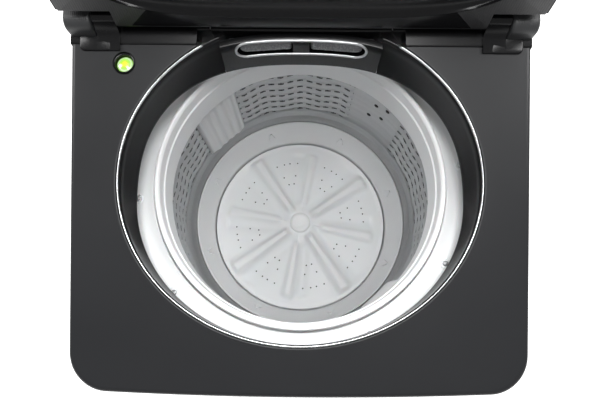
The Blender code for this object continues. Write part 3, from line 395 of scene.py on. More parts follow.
def slot_outline(side, x0, x1, z0, z1, inner, outer, steps=10):
    """Outline in x and z from x0 beside the middle to x1 further out, with its own radius at each end."""
    points = []
    for cx, cz, r, start in ((x1 - outer, z0 + outer, outer, -pi / 2), (x1 - outer, z1 - outer, outer, 0.0),
                             (x0 + inner, z1 - inner, inner, pi / 2), (x0 + inner, z0 + inner, inner, pi)):
        points += [(side * (cx + r * cos(start + pi / 2 * i / steps)),
                    cz + r * sin(start + pi / 2 * i / steps))
                   for i in range(steps + 1)]
    return points if side > 0 else points[::-1]


def tube(name, points, radius, material, sides=10, closed=True):
    """A round bead along a path of points."""
    count = len(points)
    verts, faces = [], []
    for i, point in enumerate(points):
        ahead = Vector(points[(i + 1) % count if closed else min(i + 1, count - 1)])
        behind = Vector(points[i - 1 if closed or i else 0])
        along = (ahead - behind).normalized()
        side = along.cross(Vector((0.0, -1.0, 0.2))).normalized()
        other = along.cross(side)
        verts += [Vector(point) + (side * cos(2 * pi * k / sides) + other * sin(2 * pi * k / sides)) * radius
                  for k in range(sides)]
    for i in range(count if closed else count - 1):
        faces += ring_faces(i * sides, (i + 1) % count * sides, sides)
    if not closed:
        faces += [tuple(range(sides)), tuple(range((count - 1) * sides, count * sides))]
    return piece(name, verts, faces, material)


half = DRAWER_HALF - 0.001
sections = []
for i in range(97):
    x = -half + 2 * half * i / 96
    top = deck_z(drawer_face(x, DECK_HEIGHT)) - 0.0005
    rise = top - DRAWER_FLOOR
    ring = []
    for level, back in ((0.0, 0.0012), (0.018, 0.0), (0.25, 0.0), (0.5, 0.0), (0.75, 0.0), (0.975, 0.0),
                        (0.994, 0.0006), (1.0, 0.0018)):
        z = DRAWER_FLOOR + rise * level
        ring.append((x, drawer_face(x, z) + back, z))
    for level in (1.0, 0.5, 0.0):
        z = DRAWER_FLOOR + rise * level
        ring.append((x, drawer_face(x, z) + DRAWER_THICKNESS, z))
    sections.append(ring)
drawer_front = lofted("drawer_front_panel", sections, black)
silver = Finish("silver_paint", Metallic=0.85)
silver.feed(Base_Color=silver.mix(silver.noise(30.0), (0.62, 0.63, 0.64), (0.74, 0.75, 0.76)),
            Roughness=0.28 + silver.noise(300.0) * 0.08)
silver.bump(silver.noise(1500.0), 0.00001)
flap_grey = moulded("flap_grey", (0.13, 0.133, 0.138), (0.17, 0.173, 0.178), 0.26, 500.0, 0.000006)
for side, word in ((-1, "left"), (1, "right")):
    low, high = DECK_HEIGHT + POCKET_LOW, DECK_HEIGHT + POCKET_HIGH
    outline = slot_outline(side, POCKET_IN, POCKET_OUT, low, high, 0.0030, 0.0145)
    depths = (-0.020, DRAWER_THICKNESS * 0.82)
    cutter = [[(x, drawer_face(x, z) + depth, z) for x, z in outline] for depth in depths]
    cut(drawer_front, lofted("pocket", cutter, None))
    flap = []
    for depth, inset in ((-0.0006, 0.0065), (0.0000, 0.0036), (0.0012, 0.0013), (0.0030, 0.0002),
                         (0.0052, 0.0)):
        loop = slot_outline(side, POCKET_IN + 0.0018 + inset, POCKET_OUT - 0.0030 - inset,
                            low + 0.0060 + inset,
                            high - 0.0010 - inset, 0.0030, 0.0110 - inset)
        flap.append([(x, drawer_face(x, z) + depth, z) for x, z in loop])
    place_on(lofted(f"pocket_flap_{word}", flap, flap_grey), "drawer", "black_plastic")
rim = []
for side in (1, -1):
    half_rim = slot_outline(side, 0.0, POCKET_OUT + 0.0020, DECK_HEIGHT - 0.0008,
                            DECK_HEIGHT + POCKET_HIGH + 0.0008,
                            0.0, 0.0160)
    rim += [point for point in half_rim if abs(point[0]) > 0.002]
path = []
for start, end in zip(rim, rim[1:] + rim[:1]):
    parts = max(1, round(abs(end[0] - start[0]) / 0.008))
    path += [(start[0] + (end[0] - start[0]) * i / parts, start[1] + (end[1] - start[1]) * i / parts)
             for i in range(parts)]
bead = tube("pocket_surround", [(x, drawer_face(x, z) - 0.0002, z) for x, z in path], 0.0019, silver.material)
place_on(bead, "drawer", "chrome_plating")
sill = [(-0.076 + 0.004 * i, DECK_HEIGHT - 0.0022) for i in range(39)]
place_on(tube("pocket_sill", [(x, drawer_face(x, z) + 0.0003, z) for x, z in sill], 0.0017, silver.material,
              closed=False), "drawer", "chrome_plating")
place_on(drawer_front, "drawer", "black_plastic", "drawer_front")

# ------------------------------------------------------------
# Bubble level. A black cup is pushed into the deck and holds a domed vial of lime liquid; its bubble
# shows inside a ring when the machine stands true.
def soften(section, radius, steps=3):
    """Round every corner of a closed section with a small curve."""
    result = []
    for before, here, after in zip(section[-1:] + section[:-1], section, section[1:] + section[:1]):
        a, b, c = Vector(before), Vector(here), Vector(after)
        start = b + (a - b) * min(0.45, radius / max((a - b).length, 1e-9))
        end = b + (c - b) * min(0.45, radius / max((c - b).length, 1e-9))
        for i in range(steps + 1):
            t = i / steps
            result.append(tuple(start * (1 - t) ** 2 + b * 2 * t * (1 - t) + end * t * t))
    return result


def turned(name, section, material, centre=None, steps=192, sharp=40.0):
    """Turn a closed section of (radius, height) points about an upright axis; radius 0 makes a pole."""
    x, y = centre or (0.0, DRUM_Y)
    verts, rings, faces = [], [], []
    for radius, height in section:
        start = len(verts)
        if radius < 1e-7:
            verts.append((x, y, height))
            rings.append([start] * steps)
        else:
            verts += [(px, py, height) for px, py in circle(x, y, radius, steps)]
            rings.append(list(range(start, start + steps)))
    for low, high in zip(rings, rings[1:] + rings[:1]):
        for i in range(steps):
            j = (i + 1) % steps
            corners = list(dict.fromkeys((low[i], low[j], high[j], high[i])))
            if len(corners) > 2:
                faces.append(tuple(corners))
    return piece(name, verts, faces, material, sharp)


at_level = (LEVEL.x, LEVEL.y)
r, top = LEVEL_RADIUS, LEVEL.z
cup = [(r - 0.0006, top - 0.016), (r, top - 0.0154), (r, top - 0.0010), (r - 0.0006, top),
       (r - 0.0014, top), (r - 0.0024, top - 0.0008), (r - 0.0030, top - 0.0090)]
cup = [(0.0, top - 0.016)] + cup + [(0.0, top - 0.0090)]
place_on(turned("level_cup_moulding", cup, black, at_level, 96), "root", "black_plastic", "level_cup")
vial_green = Finish("lime_vial", Coat_Weight=1.0, Coat_Roughness=0.03, IOR=1.45)
away = ((vial_green.x - LEVEL.x) * (vial_green.x - LEVEL.x)
        + (vial_green.y - LEVEL.y) * (vial_green.y - LEVEL.y)).math("SQRT")
body = vial_green.mix(away.smooth(0.0048, 0.0062), (0.55, 1.0, 0.04), (0.34, 0.74, 0.10))
ringed = vial_green.mix((away - 0.0044).math("ABSOLUTE") < 0.0003, body, (0.02, 0.08, 0.01))
pale = vial_green.mix((away - 0.0090).math("ABSOLUTE") < 0.0011, ringed, (0.62, 0.78, 0.52))
glint = vial_green.noise(260.0)
# Painted glow: the vial is no lamp, but it emits lime light, brightest at the middle.
vial_green.feed(Base_Color=vial_green.mix(glint * 0.15, pale, (0.75, 1.0, 0.30)),
                Roughness=0.10 + glint * 0.06,
                Emission_Color=vial_green.mix(away.smooth(0.0030, 0.0070), (0.30, 0.62, 0.01),
                                              (0.05, 0.13, 0.01)),
                Emission_Strength=1.0)
vial_green.bump(glint, 0.00002)
r = (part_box("level_vial")[1].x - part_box("level_vial")[0].x) / 2
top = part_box("level_vial")[1].z
vial = [(0.0, top - 0.0061), (r, top - 0.0061), (r, top - 0.0030), (r * 0.94, top - 0.0020),
        (r * 0.7, top - 0.0010)]
vial += [(r * 0.5, top - 0.0007), (r * 0.42, top - 0.0003), (r * 0.25, top), (0.0, top)]
place_on(turned("level_vial_dome", vial, vial_green.material, at_level, 96), "root", "level_fluid",
         "level_vial")

# ------------------------------------------------------------
# Tub cover. A white ring moulded in polypropylene and screwed to the tub's rim; the screws sit at
# the bottom of round pockets spread along the flange.
white = Finish("white_polypropylene", Subsurface_Weight=0.06, Subsurface_Scale=0.01, IOR=1.5)
cloud, fine = white.noise(7.0, 3.0), white.noise(700.0)
white.feed(Base_Color=white.mix(cloud, (0.80, 0.81, 0.82), (0.88, 0.885, 0.89)),
           Roughness=0.30 + cloud * 0.10 + fine * 0.08)
white.bump(fine, 0.00003)
white_plastic = white.material
cover_low, cover_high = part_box("tub_cover")
flange_radius, cover_top, cover_bottom = cover_high.x, cover_high.z, cover_low.z
ring_low, ring_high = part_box("balance_ring")
RIDGE_TOP, RING_BOTTOM, RING_OUTER = ring_high.z, ring_low.z, ring_high.x
RING_INNER = 0.2030
mouth = RING_INNER + 0.0115
POCKET_COUNT, POCKET_RADIUS = 10, 0.0065
pocket_place = 0.5 * (mouth + flange_radius) - 0.003
section = [(mouth, cover_top - 0.0006), (mouth + 0.002, cover_top), (flange_radius - 0.007, cover_top),
           (flange_radius, cover_top - 0.006), (flange_radius, cover_bottom),
           (flange_radius - 0.003, cover_bottom),
           (flange_radius - 0.003, cover_top - 0.007), (flange_radius - 0.009, cover_top - 0.003),
           (mouth, cover_top - 0.003)]
cover = turned("tub_cover_ring", soften(section, 0.0012), white_plastic)
zinc = Finish("zinc_steel", Metallic=1.0)
spangle = zinc.noise(160.0, 4.0)
zinc.feed(Base_Color=zinc.mix(spangle, (0.42, 0.43, 0.44), (0.56, 0.57, 0.57)),
          Roughness=0.34 + spangle * 0.2)
zinc.bump(zinc.noise(900.0), 0.00002)


class Tree:
    """A geometry node tree with named inputs; it ends in Realize Instances and Set Material."""

    def __init__(self, name, **sizes):
        self.tree = bpy.data.node_groups.new(name, "GeometryNodeTree")
        face = self.tree.interface
        face.new_socket("Geometry", in_out="INPUT", socket_type="NodeSocketGeometry")
        face.new_socket("Geometry", in_out="OUTPUT", socket_type="NodeSocketGeometry")
        for key, value in sizes.items():
            kind = "NodeSocketInt" if isinstance(value, int) else "NodeSocketFloat"
            face.new_socket(key, in_out="INPUT", socket_type=kind)
        self.sizes = sizes
        self.entry = self.tree.nodes.new("NodeGroupInput")
        self.exit = self.tree.nodes.new("NodeGroupOutput")

    def size(self, key):
        return self.entry.outputs[key]

    def node(self, kind, settings=(), **inputs):
        """Add a node; input names use underscores for spaces, or i0, i1 for numbered sockets."""
        made = self.tree.nodes.new(kind)
        for key, value in dict(settings).items():
            setattr(made, key, value)
        for key, value in inputs.items():
            numbered = key[0] == "i" and key[1:].isdigit()
            socket = made.inputs[int(key[1:])] if numbered else made.inputs[key.replace("_", " ")]
            if isinstance(value, bpy.types.NodeSocket):
                self.tree.links.new(value, socket)
            else:
                socket.default_value = value
        return made

    def grow(self, name, last, material):
        """Finish the tree, evaluate it on an empty carrier and return the result as a plain mesh object."""
        real = self.node("GeometryNodeRealizeInstances", Geometry=last)
        dressed = self.node("GeometryNodeSetMaterial", Geometry=real.outputs[0], Material=material)
        self.tree.links.new(dressed.outputs[0], self.exit.inputs[0])
        carrier = bpy.data.objects.new(name, bpy.data.meshes.new(name + "_carrier"))
        bpy.context.scene.collection.objects.link(carrier)
        modifier = carrier.modifiers.new("grow", "NODES")
        modifier.node_group = self.tree
        for item in self.tree.interface.items_tree:
            if item.in_out == "INPUT" and item.name in self.sizes:
                modifier[item.identifier] = self.sizes[item.name]
        graph = bpy.context.evaluated_depsgraph_get()
        mesh = bpy.data.meshes.new_from_object(carrier.evaluated_get(graph))
        carrier.modifiers.clear()
        carrier.data = mesh
        mesh.shade_smooth()
        mesh.set_sharp_from_angle(angle=radians(35))
        return carrier


def ring_of(name, shape, count, radius, height, material, turn=0.0, tilt=0.0):
    """Stand copies of a small mesh in a ring about the drum axis, through geometry nodes."""
    tree = Tree(name + "_tree", Count=count, Radius=radius, Height=height)
    line = tree.node("GeometryNodeMeshLine", {"mode": "OFFSET"}, Count=tree.size("Count"),
                     Offset=(0.0, 0.0, 0.0))
    index = tree.node("GeometryNodeInputIndex")
    share = tree.node("ShaderNodeMath", {"operation": "DIVIDE"}, i0=index.outputs[0], i1=tree.size("Count"))
    angle = tree.node("ShaderNodeMath", {"operation": "MULTIPLY_ADD"}, i0=share.outputs[0], i1=2 * pi,
                      i2=turn)
    along = tree.node("ShaderNodeMath", {"operation": "COSINE"}, i0=angle.outputs[0])
    across = tree.node("ShaderNodeMath", {"operation": "SINE"}, i0=angle.outputs[0])
    x = tree.node("ShaderNodeMath", {"operation": "MULTIPLY"}, i0=along.outputs[0], i1=tree.size("Radius"))
    y = tree.node("ShaderNodeMath", {"operation": "MULTIPLY_ADD"}, i0=across.outputs[0],
                  i1=tree.size("Radius"),
                  i2=DRUM_Y)
    spot = tree.node("ShaderNodeCombineXYZ", i0=x.outputs[0], i1=y.outputs[0], i2=tree.size("Height"))
    placed = tree.node("GeometryNodeSetPosition", Geometry=line.outputs[0], Position=spot.outputs[0])
    spin = tree.node("ShaderNodeCombineXYZ", i1=tilt, i2=angle.outputs[0])
    source = tree.node("GeometryNodeObjectInfo", {"transform_space": "ORIGINAL"}, Object=shape)
    copies = tree.node("GeometryNodeInstanceOnPoints", Points=placed.outputs[0],
                       Instance=source.outputs["Geometry"], Rotation=spin.outputs[0])
    grown = tree.grow(name, copies.outputs[0], material)
    bpy.data.objects.remove(shape)
    return grown


def screw_shape(radius):
    """A pan head screw with a cross recess, its head on the ground plane."""
    head = turned("screw", [(0.0, -0.0010), (radius, -0.0010), (radius, radius * 0.25),
                            (radius * 0.8, radius * 0.55),
                            (radius * 0.4, radius * 0.72), (0.0, radius * 0.75)], None, (0.0, 0.0), 20)
    for turn in (0.0, pi / 2):
        slot = block((-radius * 0.6, -radius * 0.13, radius * 0.35),
                     (radius * 0.6, radius * 0.13, radius * 2))
        slot.data.transform(Matrix.Rotation(turn, 4, "Z"))
        cut(head, slot)
    return head


def pocket_shape(radius):
    """The raised rim and the floor of a round screw pocket."""
    return turned("pocket", [(radius + 0.0016, -0.0006), (radius + 0.0012, 0.0007), (radius, 0.0011),
                             (radius - 0.0008, 0.0006), (radius - 0.0009, -0.0006)], None, (0.0, 0.0), 40)


rims = ring_of("tub_cover_pockets", pocket_shape(POCKET_RADIUS), POCKET_COUNT, pocket_place,
               cover_top + 0.0001,
               white_plastic, radians(6.5))
place_on(rims, "tub", "white_plastic")
screws = ring_of("tub_cover_screws", screw_shape(0.0040), POCKET_COUNT, pocket_place, cover_top + 0.0006,
                 zinc.material, radians(6.5))
place_on(screws, "tub", "zinc_steel")
place_on(cover, "tub", "white_plastic", "tub_cover")

# ------------------------------------------------------------
# Balance ring. A hollow white ring, part filled with salt water and welded shut, that is screwed
# on top of the drum wall and evens out an uneven load.
ridge = RING_INNER + 0.008
shoulder = cover_top - 0.022
section = [(ridge - 0.005, RIDGE_TOP), (ridge - 0.0015, RIDGE_TOP), (ridge, RIDGE_TOP - 0.003),
           (ridge, shoulder),
           (RING_OUTER - 0.003, shoulder - 0.002), (RING_OUTER, shoulder - 0.005),
           (RING_OUTER, RING_BOTTOM + 0.003),
           (RING_OUTER - 0.003, RING_BOTTOM), (RING_INNER + 0.004, RING_BOTTOM),
           (RING_INNER + 0.002, RING_BOTTOM
           + 0.002), (RING_INNER + 0.0005, RING_BOTTOM + 0.030), (RING_INNER - 0.0015, RIDGE_TOP - 0.031),
           (RING_INNER - 0.0015, RIDGE_TOP - 0.029), (RING_INNER + 0.0008, RIDGE_TOP - 0.0275),
           (RING_INNER, RIDGE_TOP - 0.004)]
ring = turned("balance_ring_shell", soften(section, 0.0016, 4), white_plastic, steps=256)
place_on(ring, "drum", "white_plastic", "balance_ring")

# ------------------------------------------------------------
# Drum wall. Stainless sheet rolled into a cylinder: wavy bands are embossed into it, rows of small
# holes are punched along their valleys, and two grooves are rolled in above the base. The seam
# strip is left smooth and is riveted with four large dark rivets.
DRUM_RADIUS = 0.232
DRUM_FOOT_RADIUS = 0.217
drum_top = drum_high.z
WAIST = drum_top - 0.2212
FOOT = WAIST - 0.026
COLUMNS, ROWS = 324, 52
BAND_PITCH, WAVE_COUNT = 0.027, 20
HOLE_ACROSS, HOLE_UP, HOLE_DEPTH = 0.0018, 0.0020, 0.0012
SEAM, SEAM_HALF = radians(52.0), radians(13.0)
steel = Finish("drum_steel", Metallic=1.0)
streak = steel.noise(5.0, 4.0, (1.0, 1.0, 14.0))
fleck = steel.noise(240.0, 3.0)
angle = (steel.y - DRUM_Y).math("ARCTAN2", steel.x)
turns = angle * (WAVE_COUNT / (2 * pi))
wave = ((turns - (turns + 0.5).math("FLOOR")) * 4).math("ABSOLUTE") - 1
phase = (steel.z - WAIST) / BAND_PITCH + wave * 0.24 + 0.25
# Painted shade: the sheet's colour darkens nearly to black in dashes along the embossed valleys, away from
# the seam strip and the edges.
valley = (phase.math("FRACT") - 0.5).math("ABSOLUTE") < 0.12
dash = (angle * (COLUMNS / 4) - pi / 4).math("SINE") > -0.35
valley_shade_mask = (valley * dash * (steel.z > WAIST + 0.008) * (steel.z < drum_top - 0.016)
           * ((angle - SEAM).math("ABSOLUTE") > SEAM_HALF))
sheet = steel.mix(streak * 0.7 + fleck * 0.3, (0.34, 0.345, 0.35), (0.60, 0.605, 0.61))
steel.feed(Base_Color=steel.mix(valley_shade_mask * 0.92, sheet, (0.03, 0.03, 0.03)),
           Roughness=0.27 + streak * 0.12 + fleck * 0.10)
steel.bump(steel.noise(60.0, 4.0, (1.0, 1.0, 2.0)), 0.00025, 0.7)
hole_dark = Finish("hole_shadow")
hole_dark.feed(Base_Color=hole_dark.mix(hole_dark.noise(400.0), (0.004, 0.004, 0.004), (0.010, 0.010, 0.010)),
               Roughness=0.6 + hole_dark.noise(90.0) * 0.2)


def triangle_wave(turns):
    return abs(4 * (turns - floor(turns + 0.5))) - 1.0


def band_phase(angle, height):
    """Where a point lies between one embossed band and the next."""
    return (height - WAIST) / BAND_PITCH + 0.24 * triangle_wave(angle * WAVE_COUNT / (2 * pi)) + 0.25


def on_seam(angle):
    """1 on the smooth seam strip, falling to 0 beside it."""
    off = abs((angle - SEAM + pi) % (2 * pi) - pi)
    return max(0.0, min(1.0, (SEAM_HALF - off) / radians(2.0) + 1.0))


def wall_radius(angle, height):
    """Radius of the drum's inner face with its embossing and rolled grooves."""
    if height >= WAIST:
        base = DRUM_RADIUS
    else:
        share = (WAIST - height) / (WAIST - FOOT)
        base = DRUM_RADIUS - (DRUM_RADIUS - DRUM_FOOT_RADIUS) * share ** 1.7
    clear = min(1.0, max(0.0, (drum_top - 0.012 - height) / 0.006)) * min(1.0,
                                                                          max(0.0, (height - WAIST) / 0.006))
    phase = band_phase(angle, height)
    crest = (0.5 + 0.5 * cos(2 * pi * phase)) ** 2
    ripple = 0.25 * cos(angle * WAVE_COUNT * 3)
    groove = sum(exp(-((height - WAIST - rise) / 0.0016) ** 2) for rise in (-0.004, -0.012))
    return base - 0.0029 * crest * (1.0 + ripple) * clear * (1 - on_seam(angle)) + 0.0012 * groove


heights = [FOOT + (drum_top - FOOT) * k / ROWS for k in range(ROWS + 1)]
verts, faces, dark = [], [], []
for height in heights:
    verts += [(wall_radius(2 * pi * i / COLUMNS, height) * cos(2 * pi * i / COLUMNS), DRUM_Y
               + wall_radius(2 * pi * i / COLUMNS, height) * sin(2 * pi * i / COLUMNS), height)
              for i in range(COLUMNS)]


def punched(i, k):
    """Whether a cell of the wall holds a punched hole: beside each valley, at every fourth column."""
    angle, height = 2 * pi * (i + 0.5) / COLUMNS, (heights[k] + heights[k + 1]) / 2
    share = band_phase(angle, height) % 1.0
    cell = (heights[1] - heights[0]) / BAND_PITCH
    near = abs(share - 0.5) < cell / 2
    return (i % 4 == 1 and near and WAIST + 0.008 < height < drum_top - 0.016 and on_seam(angle) == 0.0)


def pierce(corners):
    """Replace a cell by a rim of faces round an octagonal hole with a short wall and a dark floor; wall and
    floor are painted shade inside the hole.
    """
    points = [Vector(verts[c]) for c in corners]
    centre = sum(points, Vector()) / 4
    out = Vector((centre.x, centre.y - DRUM_Y, 0.0)).normalized()
    side, up = Vector((-out.y, out.x, 0.0)), Vector((0.0, 0.0, 1.0))
    start = len(verts)
    for depth in (0.0, HOLE_DEPTH):
        for n in range(8):
            turn = pi / 4 * n - 5 * pi / 8
            verts.append(tuple(centre + side * cos(turn) * HOLE_ACROSS + up * sin(turn) * HOLE_UP + out
                               * depth))
    for n in range(4):
        here, after = corners[n], corners[(n + 1) % 4]
        first, second = start + (2 * n + 7) % 8, start + 2 * n
        faces.append((here, second, first))
        faces.append((here, after, start + (2 * n + 1) % 8, second))
    dark.extend(ring_faces(start, start + 8, 8))
    dark.append(tuple(range(start + 8, start + 16)))


for k in range(ROWS):
    for i in range(COLUMNS):
        j = (i + 1) % COLUMNS
        cell = (k * COLUMNS + i, k * COLUMNS + j, (k + 1) * COLUMNS + j, (k + 1) * COLUMNS + i)
        if punched(i, k):
            pierce(cell)
        else:
            faces.append(cell)
outer = len(verts)
back = [(DRUM_RADIUS + 0.0024, drum_top), (DRUM_RADIUS + 0.0024, WAIST),
        (DRUM_FOOT_RADIUS + 0.0024, FOOT - 0.002),
        (DRUM_FOOT_RADIUS + 0.0018, FOOT - 0.030), (DRUM_FOOT_RADIUS, FOOT - 0.030)]
for radius, height in back:
    verts += [(x, y, height) for x, y in circle(0.0, DRUM_Y, radius, COLUMNS)]
chain = [ROWS * COLUMNS] + [outer + n * COLUMNS for n in range(len(back))] + [0]
for low, high in zip(chain, chain[1:]):
    faces += ring_faces(low, high, COLUMNS)
wall = piece("drum_wall", verts, faces + dark, steel.material, 50)
# The holes' walls and floors take the dark finish: painted shade.
wall.data.materials.append(hole_dark.material)
for polygon in wall.data.polygons[len(faces):]:
    polygon.material_index = 1
place_on(wall, "drum", "stainless_steel", "steel_drum")
for n, (turn, height) in enumerate(((-5.0, 0.70), (1.0, 0.69), (-3.5, 0.655), (3.0, 0.635))):
    angle = SEAM + radians(turn)
    rivet = turned(f"seam_rivet_{n}", [(0.0, -0.001), (0.0042, -0.001), (0.0042, 0.0006), (0.0034, 0.0013),
                                       (0.0018, 0.0010), (0.0, 0.0004)], hole_dark.material, (0.0, 0.0), 32)
    inward = Matrix.Rotation(angle, 4, "Z") @ Matrix.Rotation(-pi / 2, 4, "Y")
    rivet.data.transform(Matrix.Translation((DRUM_RADIUS * cos(angle), DRUM_Y + DRUM_RADIUS * sin(angle),
                                             height))
                         @ inward)
    place_on(rivet, "drum", "stainless_steel")

# ------------------------------------------------------------
# Mixing panel and lint filter panel. Two white mouldings clipped to the drum wall opposite each
# other; both are pillowed, one ribbed lengthwise and one with the slots of its lint bag frame.
PANEL_HALF = radians(11.5)


def panel_depth(u, v, ribbed):
    """How far a panel stands off the wall at u across and v up, each 0 to 1."""
    side = (1 - abs(2 * u - 1) ** 5) ** 0.5
    end = min(1.0, v / 0.08, (1 - v) / 0.12) ** 0.6 if 0 < v < 1 else 0.0
    waves = 0.0011 * cos(2 * pi * 5 * u) if ribbed else 0.0016 * cos(2 * pi * 9 * v) * min(1.0, 4 * side - 2)
    fade = max(0.0, min(1.0, 6 * (1 - abs(2 * u - 1)))) * max(0.0, min(1.0, 10 * v, 10 * (1 - v)))
    return 0.0015 + 0.0115 * side * end + waves * fade


for name, azimuth, ribbed in (("mixer_panel", 133.0, True), ("filter_panel", -47.0, False)):
    low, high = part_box(name)
    sections = []
    for k in range(81):
        v = k / 80
        height = low.z + (high.z - low.z) * v
        back, face = [], []
        for i in range(65):
            u = i / 64
            angle = radians(azimuth) + PANEL_HALF * (2 * u - 1)
            for points, radius in ((back, DRUM_RADIUS - 0.0022), (face, DRUM_RADIUS - 0.0035
                                                                  - panel_depth(u, v, ribbed))):
                points.append((radius * cos(angle), DRUM_Y + radius * sin(angle), height))
        sections.append(back + face[::-1])
    panel = lofted(name + "_moulding", sections, white_plastic, sharp=60)
    place_on(panel, "drum", "white_plastic", name)

# ------------------------------------------------------------
# Drum base. A white moulded bowl that closes the drum below and holds the pulsator; eight small
# arrow-shaped bosses stand on its slope.
base_low, base_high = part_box("drum_base")
BASE_TOP, BASE_FLOOR = base_high.z, base_low.z + 0.004
BOWL = 0.190
rim = DRUM_FOOT_RADIUS - 0.001


def bowl_height(radius):
    """Height of the bowl's slope between the pulsator and the drum wall."""
    share = (radius - BOWL) / (rim - 0.003 - BOWL)
    return BASE_FLOOR + 0.030 + (BASE_TOP - 0.0012 - BASE_FLOOR - 0.030) * (0.72 * share + 0.28 * share ** 2)


base_rings = []
slope = [BOWL + (rim - 0.003 - BOWL) * k / 14 for k in range(15)]
for radius in reversed(slope):
    base_rings.append((radius, bowl_height(radius)))
section = [(rim - 0.001, BASE_TOP)] + base_rings + [(BOWL - 0.0006, BASE_FLOOR + 0.027),
                                                    (BOWL - 0.001, BASE_FLOOR)]
section += [(0.040, BASE_FLOOR), (0.040, base_low.z), (BOWL + 0.003, base_low.z),
            (BOWL + 0.008, BASE_FLOOR + 0.020),
            (rim, BASE_TOP - 0.030), (rim, BASE_TOP - 0.001)]
bowl = turned("drum_base_bowl", section, white_plastic, steps=256)
place_on(bowl, "drum", "white_plastic", "drum_base")
arrow_points = [(-0.0075, 0.009), (-0.0035, 0.009), (0.0, -0.001), (0.0035, 0.009), (0.0075, 0.009),
                (0.002, -0.008),
                (-0.002, -0.008)]
pitch = atan2(bowl_height(BOWL + 0.018) - bowl_height(BOWL + 0.008), 0.010)
arrow_loops = [[(-y, x, z) for x, y in arrow_points] for z in (-0.001, 0.0022)]
arrow = lofted("arrow", arrow_loops, None)
arrow.data.transform(Matrix.Rotation(-pitch, 4, "Y"))
arrows = ring_of("drum_base_bosses", arrow, 8, BOWL + 0.013, bowl_height(BOWL + 0.013) + 0.0003,
                 white_plastic,
                 radians(19))
place_on(arrows, "drum", "white_plastic")

# ------------------------------------------------------------
# Pulsator. A white moulded plate with four long ribs and four low ones between them, groups of
# small water holes in the eight fields, and a smooth cap over its screw.
pulsator_low, pulsator_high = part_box("pulsator")
PULSATOR_RADIUS = pulsator_high.x
RIM = pulsator_low.z + 0.008
RISE = 0.022


def pulsator_z(radius, angle):
    """Height of the pulsator's upper face."""
    share = radius / PULSATOR_RADIUS
    z = RIM + RISE * max(0.0, 1 - share) ** 1.6
    for first, height, near, far, width in ((35.0, 0.0135, 0.13, 0.97, 0.0105),
                                            (80.0, 0.0060, 0.20, 0.90, 0.0085)):
        step = (angle - radians(first) + pi / 4) % (pi / 2) - pi / 4
        across = radius * step
        reach = max(0.0, min(1.0, (share - near) / 0.10, (far - share) / 0.07))
        reach = reach * reach * (3 - 2 * reach)
        wide = width * (0.75 + 0.9 * share)
        flat = max(0.0, abs(across) - wide * 0.30) / wide
        z += height * reach * exp(-(flat * 1.7) ** 2)
        z -= 0.0030 * reach * exp(-((across - wide * 2.3) / (wide * 1.1)) ** 2)
    rim_lift = max(0.0, (share - 0.955) / 0.045)
    return z + 0.0012 * rim_lift


radii = [0.0125] + [0.016 + (PULSATOR_RADIUS - 0.020) * (k / 70) for k in range(1, 71)]
radii += [PULSATOR_RADIUS - 0.0015, PULSATOR_RADIUS - 0.0004, PULSATOR_RADIUS]
SPOKES = 320
verts, faces = [], []
levels = [(radius, 0.0) for radius in radii] + [(PULSATOR_RADIUS, 0.0090), (PULSATOR_RADIUS - 0.002, 0.0090),
                                                (PULSATOR_RADIUS - 0.004, 0.004), (0.09, 0.004),
                                                (0.0125, 0.004)]
for n, (radius, lower) in enumerate(levels):
    soft = 0.0006 if n == len(radii) - 1 else 0.0
    for i in range(SPOKES):
        angle = 2 * pi * i / SPOKES
        verts.append((radius * cos(angle), DRUM_Y + radius * sin(angle),
                      pulsator_z(radius, angle) - lower - soft))
for n in range(len(levels)):
    faces += ring_faces(n * SPOKES, (n + 1) % len(levels) * SPOKES, SPOKES)
plate = piece("pulsator_plate", verts, faces, white_plastic, 60)
bits = []
for field in range(8):
    centre = radians(12.5 + 45 * field)
    for radius, offsets in ((0.142, (-9.7, -2.6, 2.6, 9.7)), (0.112, (-6.8, 6.8)), (0.093, (-3.6, 3.6))):
        for offset in offsets:
            angle = centre + radians(offset)
            bits.append((radius * cos(angle), DRUM_Y + radius * sin(angle)))


def pins(name, radius, ends, material=None):
    """Ten-sided pins at the water holes, each between the two heights that ends gives for its place."""
    verts, faces = [], []
    for x, y in bits:
        start = len(verts)
        verts += [(px, py, z) for z in ends(x, y) for px, py in circle(x, y, radius, 10)]
        faces += ring_faces(start, start + 10, 10)
        faces += [tuple(range(start, start + 10)), tuple(range(start + 10, start + 20))]
    return piece(name, verts, faces, material)


def hole_shade_heights(x, y):
    """Heights between which the dark disc of painted shade inside a water hole lies."""
    top = pulsator_z(sqrt(x * x + (y - DRUM_Y) ** 2), atan2(y - DRUM_Y, x)) - 0.0016
    return top - 0.0008, top


cut(plate, pins("drills", 0.0017, lambda x, y: (RIM - 0.02, RIM + 0.04)))
plate.data.set_sharp_from_angle(angle=radians(60))
place_on(plate, "pulsator", "white_plastic", "pulsator")
# Dark discs of painted shade sit just under the surface inside each water hole.
place_on(pins("pulsator_hole_floors", 0.0016, hole_shade_heights, hole_dark.material), "pulsator", "black_plastic")
cap_low, cap_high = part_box("pulsator_cap")
r, low, high = cap_high.x, cap_low.z, cap_high.z
section = [(0.0, low), (r * 0.95, low), (r, low + 0.0012), (r * 0.985, low + 0.003),
           (r * 0.90, high - 0.0012),
           (r * 0.75, high - 0.0002), (r * 0.55, high), (r * 0.45, high - 0.0006), (r * 0.40, high - 0.0008),
           (0.0,
           high - 0.0004)]
place_on(turned("pulsator_cap_moulding", section, white_plastic, steps=96), "pulsator", "white_plastic",
         "pulsator_cap")

